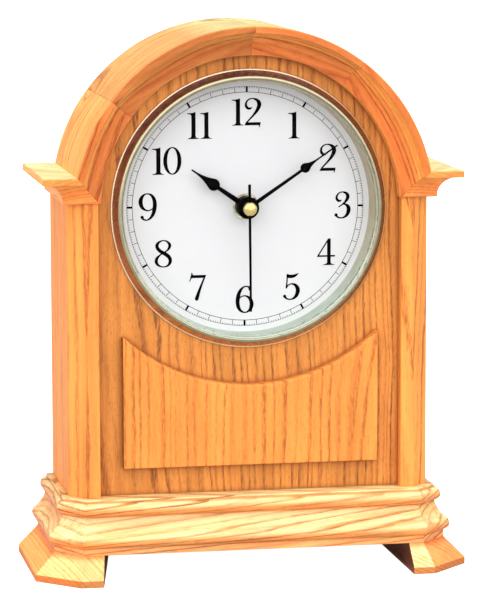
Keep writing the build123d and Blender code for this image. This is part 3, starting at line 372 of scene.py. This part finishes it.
def plastic(name, colour, rough=0.45, grain=0.35, depth=0.00002, edge=0.0002, vary=0.12, gloss=0.5):
    s = Shader(name, Specular_IOR_Level=gloss)
    p = s.place()
    g = s.noise(s.vec("MULTIPLY", p, (1000 / grain,) * 3), 1, 2)
    slow = s.noise(s.vec("MULTIPLY", p, (90, 90, 90)), 1, 2)
    t = s.span(slow, 0.3, 0.7, 1 - vary, 1 + vary)
    s.set("Base Color", s.mix(1.0, colour, s.xyz(t, t, t), "MULTIPLY"))
    s.set("Roughness", s.span(g, 0.3, 0.7, rough - 0.06, rough + 0.08))
    s.relief(g, depth, 0.6, edge)
    return s.mat


HAND_AXIS = ((0, 1, 0), (0, 0, 171.1))


def bezel_metal():
    """Turned ring with colours painted by place for light and reflection: dull inner wall tinted by the reflected dial,
    creamy rounded rim paler where lit, darker sloping outer wall painted with the reflected wood, bright thin flange
    where lit.
    """
    s = Shader("bezel_metal", Metallic=1.0)
    d = s.vec("SUBTRACT", s.place(), Vector(HAND_AXIS[1]) * MM)
    out = s.vec("LENGTH", s.vec("MULTIPLY", d, (1000, 0, 1000)))
    x, _, z = s.split(s.vec("MULTIPLY", d, (1000 / 65, 0, 1000 / 65)))
    # Painted light: lit grows towards the upper left, where the lamps fall on the ring.
    lit = s.span(s.math("MULTIPLY", s.math("SUBTRACT", z, x), 0.7), -0.9, 0.9, 0, 1)
    high = s.span(z, -0.8, 0.7, 0, 1)
    right = s.span(x, 0.35, 0.85)
    smear = s.noise(s.vec("MULTIPLY", d, (130, 130, 130)), 1, 3, 0.6)
    marks = s.noise(s.xyz(s.math("MULTIPLY", out, 5.0), s.math("MULTIPLY", s.split(d)[1], 5000.0), 0), 1, 2)
    tint = s.span(smear, 0.3, 0.7, 0.90, 1.0)
    # Inner wall: painted reflection, greener and paler towards the bottom where it mirrors the dial; the rim has
    # painted light, paler where lit.
    tone = s.mix(s.span(out, 59.95, 60.15), s.mix(s.span(z, -0.85, 0.05), (0.62, 0.70, 0.61), (0.58, 0.52, 0.375)),
                 s.mix(lit, (0.335, 0.330, 0.235), (0.400, 0.360, 0.245)))
    # Painted shade: a dark line in the crease between the inner wall and the rim.
    painted_groove_shade = s.math("MULTIPLY", s.span(out, 60.0, 60.2), s.span(out, 60.75, 60.5))
    tone = s.mix(s.math("MULTIPLY", painted_groove_shade, 0.45), tone, (0.14, 0.14, 0.11))
    # Dark specks on the rim, shown only on its less lit side by the painted light mask.
    spots = s.noise(s.xyz(s.math("MULTIPLY", s.math("ARCTAN2", x, z), 17.0), s.math("MULTIPLY", out, 1.6), 3.0), 1, 2, 0.55)
    spots = s.math("MULTIPLY", s.span(spots, 0.60, 0.68), s.math("MULTIPLY", s.span(out, 59.5, 60.0), s.span(out, 61.6, 61.0)))
    tone = s.mix(s.math("MULTIPLY", spots, s.span(lit, 0.35, 0.75, 0.8, 0.0)), tone, (0.05, 0.05, 0.035))
    # Outer wall: painted reflection of the wood around it, pinkish at the bottom, dark bluish at the top and dark brown
    # on the right.
    tone = s.mix(s.span(out, 62.30, 62.50), tone,
                 s.mix(right, s.mix(high, (0.60, 0.45, 0.36), (0.32, 0.30, 0.55)), (0.28, 0.19, 0.15)))
    # Flange: painted light, pale where lit towards the upper left, orange where not, darker orange on the right.
    tone = s.mix(s.span(out, 64.20, 64.40), tone,
                 s.mix(right, s.mix(lit, (0.78, 0.44, 0.21), (0.80, 0.67, 0.49)), (0.50, 0.25, 0.10)))
    s.set("Base Color", s.mix(1.0, tone, s.xyz(tint, tint, tint), "MULTIPLY"))
    s.set("Roughness", s.math("ADD", s.span(out, 59.95, 60.15, 0.55, s.span(smear, 0.3, 0.75, 0.20, 0.28)), s.math("MULTIPLY", marks, 0.05)))
    s.relief(marks, 0.00001, 0.5, 0.00015)
    return s.mat


dress(bezel_metal(), "bezel")
dress(metal("cap_brass", (0.80, 0.60, 0.24), 0.22, 0.06, HAND_AXIS), "hand_cap")
dress(metal("nut_brass", (0.80, 0.77, 0.62), 0.17, 0.04, HAND_AXIS, 1 / 0.5, 0.00001), "fixing_nut")
hinge_brass = metal("hinge_brass", (0.72, 0.52, 0.22), 0.30, 0.16)
dress(hinge_brass, "hinge_fixed_leaves", "hinge_door_leaves", "hinge_pins", "turn_button")
dress(metal("screw_brass", (0.70, 0.51, 0.23), 0.28, 0.2), "hinge_fixed_screws", "hinge_door_screws", "turn_button_screw")
dress(metal("screw_steel", (0.56, 0.55, 0.53), 0.30, 0.2), "back_panel_screws", "dial_screws")
dress(metal("nickel", (0.66, 0.64, 0.60), 0.24, 0.15), "contact_positive", "contact_negative", "crystal")
dress(metal("stator_steel", (0.46, 0.45, 0.44), 0.40, 0.2), "stator", "coil_core")

hand_black = plastic("hand_black", (0.0009, 0.0009, 0.001), 0.42, 0.3, 0.00001, 0.0001, 0.25, 0.02)
dress(hand_black, "hour_hand", "minute_hand", "second_hand")
dress(plastic("gasket_rubber", (0.018, 0.018, 0.02), 0.75, 0.25, 0.00004), "gasket")
dress(plastic("movement_black", (0.020, 0.020, 0.022), 0.48, 0.5, 0.00004, 0.0003), "front_housing", "rear_cover")
dress(plastic("knob_black", (0.026, 0.026, 0.028), 0.42, 0.4, 0.00003), "set_knob")
dress(plastic("bridge_ivory", (0.62, 0.58, 0.48), 0.45), "train_bridge")
dress(plastic("gear_white", (0.72, 0.71, 0.67), 0.38, 0.3, 0.00001, 0.00008), "hour_wheel", "minute_wheel", "third_wheel", "fifth_wheel")
dress(plastic("gear_amber", (0.60, 0.36, 0.10), 0.36, 0.3, 0.00001, 0.00008), "centre_wheel", "seconds_wheel", "minute_arbor")
dress(plastic("rotor_magnet", (0.10, 0.09, 0.09), 0.35, 0.3, 0.00001, 0.00008), "rotor")


def board_green():
    s = Shader("board_green", Coat_Weight=0.4)
    p = s.place()
    m = s.vec("MULTIPLY", p, (1000, 1000, 1000))
    cell = s.add("ShaderNodeTexVoronoi", feature="DISTANCE_TO_EDGE", distance="EUCLIDEAN")
    s.join(cell.inputs["Vector"], s.vec("MULTIPLY", m, (0.35, 0.35, 0.35)))
    track = s.span(cell.outputs["Distance"], 0.06, 0.10, 1.0, 0.0)
    s.set("Base Color", s.mix(track, (0.016, 0.095, 0.045), (0.03, 0.17, 0.075)))
    s.set("Roughness", s.span(s.noise(m, 0.8, 2), 0.3, 0.7, 0.30, 0.42))
    s.relief(track, 0.00003, 0.8)
    return s.mat


def winding():
    s = Shader("coil_copper", Metallic=1.0)
    lo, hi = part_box("coil")
    size = hi - lo
    axis = max(range(3), key=lambda i: size[i])
    turn = s.math("SINE", s.math("MULTIPLY", s.split(s.place())[axis], 2 * math.pi / 0.00030))
    # Painted shade between the wire turns: the colour darkens in the grooves where the bump is low.
    s.set("Base Color", s.mix(s.span(turn, -1, 1), (0.40, 0.13, 0.05), (0.86, 0.42, 0.20)))
    s.set("Roughness", s.span(turn, -1, 1, 0.42, 0.26))
    s.relief(turn, 0.00006, 0.8)
    return s.mat


def cell_wrap():
    s = Shader("battery_wrap")
    lo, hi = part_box("battery")
    size = hi - lo
    axis = max(range(3), key=lambda i: size[i])
    t = s.span(s.split(s.place())[axis], lo[axis], hi[axis], 0, 1, False)
    tone = s.noise(s.vec("MULTIPLY", s.place(), (500, 500, 500)), 1, 3)
    col = s.ramp(t, [(0.0, (0.60, 0.58, 0.55)), (0.03, (0.60, 0.58, 0.55)), (0.035, (0.025, 0.026, 0.03)), (0.66, (0.025, 0.026, 0.03)),
                     (0.665, (0.62, 0.34, 0.12)), (0.955, (0.62, 0.34, 0.12)), (0.96, (0.60, 0.58, 0.55)), (1.0, (0.60, 0.58, 0.55))])
    s.set("Base Color", s.mix(s.math("MULTIPLY", tone, 0.15), col, (0.4, 0.4, 0.4)))
    s.set("Roughness", s.span(tone, 0.3, 0.7, 0.24, 0.36))
    s.set("Metallic", s.ramp(t, [(0.0, 1.0), (0.03, 1.0), (0.035, 0.0), (0.66, 0.0), (0.665, 0.8), (0.955, 0.8), (0.96, 1.0), (1.0, 1.0)]))
    s.relief(tone, 0.00002, 0.5, 0.0002)
    return s.mat


def clear_glass():
    """Thin clear cover: nearly all see-through, with a faint gloss that grows towards the rim."""
    s = Shader("clear_glass", Roughness=0.03, Base_Color=(0.02, 0.022, 0.022), Specular_IOR_Level=0.4)
    rim = s.add("ShaderNodeLayerWeight")
    rim.inputs["Blend"].default_value = 0.22
    dust = s.noise(s.vec("MULTIPLY", s.place(), (60, 60, 60)), 1, 3)
    s.set("Alpha", s.math("ADD", s.math("MULTIPLY", rim.outputs["Fresnel"], 0.10), s.span(dust, 0.4, 0.8, 0.003, 0.010)))
    return s.mat


def dial_paint():
    s = Shader("dial_paint", Coat_Weight=0.05, Coat_Roughness=0.3)
    p = s.place()
    m = s.vec("MULTIPLY", p, (1000, 1000, 1000))
    grain = s.noise(m, 2.6, 2)
    slow = s.noise(m, 0.05, 2)
    t = s.math("ADD", s.span(grain, 0.3, 0.7, -0.02, 0.02), s.span(slow, 0.3, 0.7, 0.985, 1.0))
    s.set("Base Color", s.mix(1.0, (0.592, 0.592, 0.607), s.xyz(t, t, t), "MULTIPLY"))
    s.set("Roughness", s.span(grain, 0.3, 0.7, 0.50, 0.60))
    s.relief(grain, 0.00001, 0.4)
    return s.mat


def ink():
    s = Shader("dial_ink", Specular_IOR_Level=0.02)
    m = s.vec("MULTIPLY", s.place(), (1000, 1000, 1000))
    g = s.noise(m, 4.0, 2)
    s.set("Base Color", s.mix(s.span(g, 0.3, 0.8), (0.0005, 0.0005, 0.0006), (0.0012, 0.0012, 0.0014)))
    s.set("Roughness", s.span(g, 0.3, 0.7, 0.42, 0.52))
    s.relief(g, 0.000008, 0.5)
    return s.mat


dress(board_green(), "circuit_board")
dress(winding(), "coil")
dress(cell_wrap(), "battery")
dress(clear_glass(), "glass")
dress(dial_paint(), "dial_plate")
INK = ink()

# ---------------------------------------------------------------------------
# Dial print: upright numerals with thick and thin strokes, and a divided minute track
# ---------------------------------------------------------------------------
DIAL_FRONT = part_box("dial_plate")[0].y
AXIS_Z = 0.1711
DIAL_TURN = math.radians(0.7)  # the dial sits slightly clockwise in the case


def curve(points, n=12):
    """Smooth run of (x, y, width) through the given points."""
    pts = [tuple(2 * a - b for a, b in zip(points[0], points[1]))] + list(points) + [tuple(2 * a - b for a, b in zip(points[-1], points[-2]))]
    out = []
    for i in range(1, len(pts) - 2):
        p0, p1, p2, p3 = pts[i - 1:i + 3]
        for k in range(n):
            t = k / n
            out.append(tuple(0.5 * (2 * b + (c - a) * t + (2 * a - 5 * b + 4 * c - d) * t * t + (3 * b - a - 3 * c + d) * t ** 3)
                             for a, b, c, d in zip(p0, p1, p2, p3)))
    return out + [tuple(points[-1])]


def loop(points, n=12):
    """The same, closed on itself."""
    k = len(points)
    out = []
    for i in range(k):
        p0, p1, p2, p3 = (points[(i + j) % k] for j in (-1, 0, 1, 2))
        for j in range(n):
            t = j / n
            out.append(tuple(0.5 * (2 * b + (c - a) * t + (2 * a - 5 * b + 4 * c - d) * t * t + (3 * b - a - 3 * c + d) * t ** 3)
                             for a, b, c, d in zip(p0, p1, p2, p3)))
    return out + [out[0]]


def stroke(run):
    """Quads along a run, as wide as the run says."""
    sides = []
    for i, (x, y, w) in enumerate(run):
        a, b = run[max(0, i - 1)], run[min(len(run) - 1, i + 1)]
        dx, dy = b[0] - a[0], b[1] - a[1]
        k = math.hypot(dx, dy) or 1e-9
        w = 1.08 * w + 0.004
        sides.append(((x - dy / k * w / 2, y + dx / k * w / 2), (x + dy / k * w / 2, y - dx / k * w / 2)))
    return [[a[0], a[1], b[1], b[0]] for a, b in zip(sides, sides[1:])]


def ball(x, y, r, n=20):
    return [[(x + r * math.cos(2 * math.pi * i / n), y + r * math.sin(2 * math.pi * i / n)) for i in range(n)]]


def bow(a, c, b, n=6):
    """Points of a bracket curve from a to b, pulled towards c, ends left out."""
    return [tuple((1 - t) ** 2 * p + 2 * t * (1 - t) * q + t * t * r for p, q, r in zip(a, c, b)) for t in (i / n for i in range(1, n))]


def foot(x0, x1, s0, s1, h=0.034, rise=0.11):
    """Thin foot serif from x0 to x1 under a stem from s0 to s1."""
    return [[(x0, 0), (x1, 0), (x1, h * 0.7), *bow((x1, h * 0.7), (s1 + 0.012, h), (s1, rise)), (s1, rise),
             (s0, rise), *bow((s0, rise), (s0 - 0.012, h), (x0, h * 0.7)), (x0, h * 0.7)]]


HAIR = 0.040
DIGITS = {
    "0": stroke(loop([(0.32 + 0.262 * math.cos(a), 0.5 + 0.482 * math.sin(a), 0.036 + 0.096 * abs(math.cos(a)) ** 1.5)
                      for a in (2 * math.pi * i / 24 for i in range(24))], 4)),
    "1": foot(0.01, 0.43, 0.152, 0.308) + [[(0.152, 0.10), (0.308, 0.10), (0.308, 1.0), (0.268, 0.985), (0.165, 0.958), (0.0, 0.950),
                                            (0.0, 0.914), (0.08, 0.911), (0.132, 0.892), (0.152, 0.85)]],
    "2": stroke(curve([(0.285, 0.665, 0.030), (0.225, 0.618, 0.062), (0.135, 0.628, 0.088), (0.066, 0.72, 0.086), (0.085, 0.86, 0.058),
                       (0.185, 0.955, 0.042), (0.315, 0.981, 0.040), (0.455, 0.935, 0.088), (0.545, 0.83, 0.132), (0.548, 0.70, 0.136),
                       (0.455, 0.515, 0.100), (0.32, 0.35, 0.066), (0.17, 0.19, 0.05), (0.055, 0.065, 0.05)]))
         + [[(0.0, 0.0), (0.555, 0.0), (0.552, -0.022), (0.535, -0.068), (0.572, -0.068), (0.600, 0.02), (0.612, 0.122), (0.578, 0.112),
             (0.13, 0.112), (0.10, 0.125), (0.04, 0.07)]],
    "3": stroke(curve([(0.275, 0.690, 0.030), (0.225, 0.655, 0.06), (0.150, 0.668, 0.084), (0.095, 0.745, 0.080), (0.115, 0.865, 0.056),
                       (0.205, 0.955, 0.042), (0.320, 0.981, 0.040), (0.445, 0.938, 0.086), (0.510, 0.850, 0.118), (0.495, 0.735, 0.110),
                       (0.415, 0.615, 0.074), (0.300, 0.515, 0.044), (0.165, 0.425, 0.036)]))
         + stroke(curve([(0.310, 0.525, 0.020), (0.420, 0.522, 0.060), (0.520, 0.440, 0.122), (0.545, 0.310, 0.138), (0.500, 0.165, 0.112),
                         (0.400, 0.062, 0.070), (0.270, 0.021, 0.042), (0.150, 0.047, 0.056), (0.085, 0.105, 0.07)]))
         + ball(0.072, 0.135, 0.062),
    "4": foot(0.225, 0.665, 0.382, 0.520) + [[(0.382, 0.10), (0.520, 0.10), (0.520, 1.0), (0.455, 1.0), (0.382, 0.93)]]
         + [[(0.0, 0.314), (0.685, 0.314), (0.685, 0.376), (0.055, 0.376), (0.0, 0.352)]]
         + [[(0.0, 0.345), (0.062, 0.345), (0.478, 1.0), (0.418, 1.0)]],
    "5": [[(0.145, 0.985), *bow((0.145, 0.985), (0.31, 0.885), (0.595, 1.005)), (0.595, 1.005), (0.575, 0.955),
           *bow((0.575, 0.955), (0.46, 0.79), (0.235, 0.815)), (0.235, 0.815), (0.145, 0.822)]]
         + stroke(curve([(0.168, 0.97, 0.046), (0.160, 0.80, 0.044), (0.146, 0.60, 0.046), (0.132, 0.43, 0.056)]))
         + stroke(curve([(0.140, 0.475, 0.040), (0.205, 0.555, 0.040), (0.320, 0.598, 0.044), (0.455, 0.560, 0.090), (0.545, 0.450, 0.132),
                         (0.560, 0.310, 0.140), (0.500, 0.150, 0.112), (0.390, 0.052, 0.066), (0.265, 0.021, 0.042), (0.145, 0.050, 0.056),
                         (0.080, 0.110, 0.07)]))
         + ball(0.066, 0.140, 0.062),
    "7": [[(0.105, 0.845), *bow((0.105, 0.845), (0.07, 0.83), (0.035, 0.715)), (0.035, 0.715), (0.0, 0.715), (0.045, 0.862), (0.088, 1.045), (0.118, 1.045),
           (0.128, 0.985), (0.148, 0.955), (0.635, 0.955), (0.635, 0.925), (0.585, 0.845)]]
         + stroke(curve([(0.598, 0.93, 0.050), (0.520, 0.74, 0.058), (0.440, 0.54, 0.074), (0.365, 0.34, 0.096), (0.305, 0.16, 0.120), (0.278, 0.070, 0.130)]))
         + ball(0.277, 0.066, 0.066),
    "8": stroke(loop([(0.325, 0.983, 0.036), (0.195, 0.945, 0.060), (0.100, 0.845, 0.104), (0.105, 0.720, 0.116), (0.200, 0.605, 0.112),
                      (0.330, 0.525, 0.120), (0.470, 0.435, 0.124), (0.560, 0.325, 0.118), (0.575, 0.200, 0.108), (0.495, 0.070, 0.070),
                      (0.335, 0.018, 0.036), (0.165, 0.062, 0.064), (0.068, 0.180, 0.106), (0.080, 0.320, 0.098), (0.190, 0.445, 0.056),
                      (0.330, 0.530, 0.040), (0.470, 0.625, 0.054), (0.550, 0.740, 0.096), (0.548, 0.850, 0.096), (0.455, 0.948, 0.056)], 8)),
    "9": stroke(curve([(0.585, 0.510, 0.030), (0.490, 0.420, 0.040), (0.360, 0.368, 0.040), (0.235, 0.395, 0.062), (0.125, 0.490, 0.110),
                       (0.073, 0.640, 0.138), (0.092, 0.800, 0.124), (0.175, 0.925, 0.076), (0.310, 0.982, 0.038), (0.455, 0.935, 0.074),
                       (0.555, 0.800, 0.116), (0.592, 0.620, 0.132), (0.578, 0.420, 0.134), (0.520, 0.225, 0.110), (0.420, 0.085, 0.072),
                       (0.300, 0.021, 0.042), (0.190, 0.040, 0.056), (0.135, 0.090, 0.07)]))
         + ball(0.125, 0.125, 0.062),
}
DIGITS["6"] = [[(0.66 - x, 1.0 - y) for x, y in f] for f in DIGITS["9"]]


def merged(faces):
    """Flat faces that may overlap, as one set of points and triangles with no overlap."""
    points, index, polys = [], {}, []
    for f in faces:
        ids = []
        for p in f:
            key = (round(p[0], 4), round(p[1], 4))
            if key not in index:
                index[key] = len(points)
                points.append(Vector(key))
            if not ids or ids[-1] != index[key]:
                ids.append(index[key])
        if len(set(ids)) >= 3:
            ring = [points[i] for i in ids]
            if sum(a.x * b.y - b.x * a.y for a, b in zip(ring, ring[1:] + ring[:1])) < 0:
                ids.reverse()
            polys.append(ids)
    verts, _, tris, _, _, sources = geometry.delaunay_2d_cdt(points, [], polys, 0, 1e-5)
    return [tuple(v) for v in verts], [t for t, s in zip(tris, sources) if s]


def printed(name, verts, tris, x, z, turn=0.0):
    """A thin closed film of ink on the dial. verts are in mm, x to the right and y up, about the point x, z."""
    front, back = DIAL_FRONT - 0.00005, DIAL_FRONT + 0.00001
    c, s = math.cos(turn), math.sin(turn)
    used = sorted({i for t in tris for i in t})
    at = {v: i for i, v in enumerate(used)}
    flat = []
    for i in used:
        a, b = verts[i][0] + x, verts[i][1] + z
        flat.append(((a * c + b * s) * MM, (b * c - a * s) * MM + AXIS_Z))
    n = len(flat)
    co = [(a, front, b) for a, b in flat] + [(a, back, b) for a, b in flat]
    faces, edges = [], {}
    for t in tris:
        t = [at[i] for i in t]
        area = sum(flat[t[i]][0] * flat[t[(i + 1) % len(t)]][1] - flat[t[(i + 1) % len(t)]][0] * flat[t[i]][1] for i in range(len(t)))
        if area < 0:
            t.reverse()
        faces.append(tuple(t))
        faces.append(tuple(i + n for i in reversed(t)))
        for i in range(len(t)):
            edges[(t[i], t[(i + 1) % len(t)])] = True
    for a, b in list(edges):
        if (b, a) not in edges:
            faces.append((b, a, a + n, b + n))
    mesh = bpy.data.meshes.new(name)
    mesh.from_pydata(co, [], faces)
    mesh.update()
    mesh.materials.append(INK)
    o = bpy.data.objects.new(name, mesh)
    scene.collection.objects.link(o)
    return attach(o, "case")


# centre of each numeral from the hand axis, and its height, in mm
NUMERALS = {
    "12": (0.55, 44.35, 12.75), "1": (23.0, 37.75, 12.6), "2": (39.2, 22.3, 12.7), "3": (46.3, -0.3, 12.75), "4": (38.4, -22.3, 12.6),
    "5": (21.8, -38.3, 12.7), "6": (-0.6, -43.8, 12.8), "7": (-22.9, -37.5, 12.7), "8": (-39.1, -21.3, 12.8), "9": (-46.3, 0.8, 12.8),
    "10": (-37.2, 22.1, 12.8), "11": (-21.7, 38.4, 12.65),
}
STEP = {"11": 0.482, "10": 0.425, "12": 0.462}  # from the left digit to the right one, in heights
for text, (cx, cz, high) in NUMERALS.items():
    faces, pen = [], 0.0
    for d in text:
        faces += [[((px + pen) * high, py * high) for px, py in f] for f in DIGITS[d]]
        pen += STEP.get(text, 0.0)
    xs = [p[0] for f in faces for p in f]
    verts, tris = merged(faces)
    printed("numeral_" + text, verts, tris, cx - (min(xs) + max(xs)) / 2, cz - high / 2)


def minute_track():
    """Railroad track: two thin circles, a line for each minute, fine fifths of a minute, bold hours."""
    rings = [53.45, 53.70, 55.52, 56.12, 56.27]
    marks = []  # (angle, half width in mm, radial band)
    for i in range(300):
        hour, minute = i % 25 == 0, i % 5 == 0
        marks.append((i * 1.2, 0.48 if hour else 0.12 if minute else 0.125, (0, 3) if hour or minute else (2, 3)))
    stops = {}
    for a, half, band in marks:
        d = math.degrees(half / 54.6)
        for x in (a - d, a + d):
            stops[round(x % 360, 5)] = True
    for i in range(720):
        stops[round(i * 0.5, 5)] = True
    angles = sorted(stops)
    n = len(angles)
    verts = [(r * math.sin(math.radians(a)), r * math.cos(math.radians(a))) for r in rings for a in angles]
    quads = []
    for j in range(n):
        a0, a1 = angles[j], angles[(j + 1) % n] + (360 if j + 1 == n else 0)
        middle = (a0 + a1) / 2 % 360
        for b in range(len(rings) - 1):
            inked = b in (0, 3)
            if not inked:
                near = round(middle / 1.2) % 300
                for k in (near - 1, near, near + 1):
                    a, half, band = marks[k % 300]
                    off = abs((middle - a + 180) % 360 - 180)
                    if band[0] <= b <= band[1] and off < math.degrees(half / 54.6):
                        inked = True
            if inked:
                k = (j + 1) % n
                quads.append((b * n + j, b * n + k, (b + 1) * n + k, (b + 1) * n + j))
    return verts, quads


printed("minute_track", *minute_track(), 0, 0, DIAL_TURN)

# ---------------------------------------------------------------------------
# Floor and light
# ---------------------------------------------------------------------------
floor_mesh = bpy.data.meshes.new("floor")
floor_mesh.from_pydata([(-16, -16, 0), (16, -16, 0), (16, 16, 0), (-16, 16, 0)], [], [(0, 1, 2, 3)])
floor = bpy.data.objects.new("floor", floor_mesh)
scene.collection.objects.link(floor)
fs = Shader("floor_white", Roughness=0.9, Specular_IOR_Level=0.1)
ft = fs.span(fs.noise(fs.vec("MULTIPLY", fs.place(), (3, 3, 3)), 1, 2), 0.3, 0.7, 0.50, 0.52)
fs.set("Base Color", fs.xyz(ft, ft, ft))
fs.set("Emission Color", (1.0, 1.0, 1.0))
fs.set("Emission Strength", fs.math("MULTIPLY", fs.add("ShaderNodeLightPath").outputs["Is Camera Ray"], 1.0))
floor_mesh.materials.append(fs.mat)

world = bpy.data.worlds.new("studio")
scene.world = world
world.use_nodes = True
sky = world.node_tree
heading = sky.nodes.new("ShaderNodeTexCoord")
axes = sky.nodes.new("ShaderNodeSeparateXYZ")
rise = sky.nodes.new("ShaderNodeMapRange")
sky.links.new(heading.outputs["Generated"], axes.inputs[0])
sky.links.new(axes.outputs["Y"], rise.inputs["Value"])
for socket, value in zip(("From Min", "From Max", "To Min", "To Max"), (0.3, -0.9, 0.42, 1.5)):
    rise.inputs[socket].default_value = value
sky.links.new(rise.outputs[0], sky.nodes["Background"].inputs["Strength"])
sky.nodes["Background"].inputs["Color"].default_value = (1.0, 1.0, 1.0, 1)


def sun(name, towards, strength, angle, colour=(1, 1, 1)):
    data = bpy.data.lights.new(name, "SUN")
    data.energy, data.angle, data.color = strength, math.radians(angle), colour
    o = bpy.data.objects.new(name, data)
    o.rotation_mode = "QUATERNION"
    o.rotation_quaternion = Vector(towards).to_track_quat("-Z", "Y")
    scene.collection.objects.link(o)


sun("overhead", (0.08, 0.85, -1.0), 3.4, 130)
sun("left", (1.0, -0.12, -0.28), 1.4, 40)
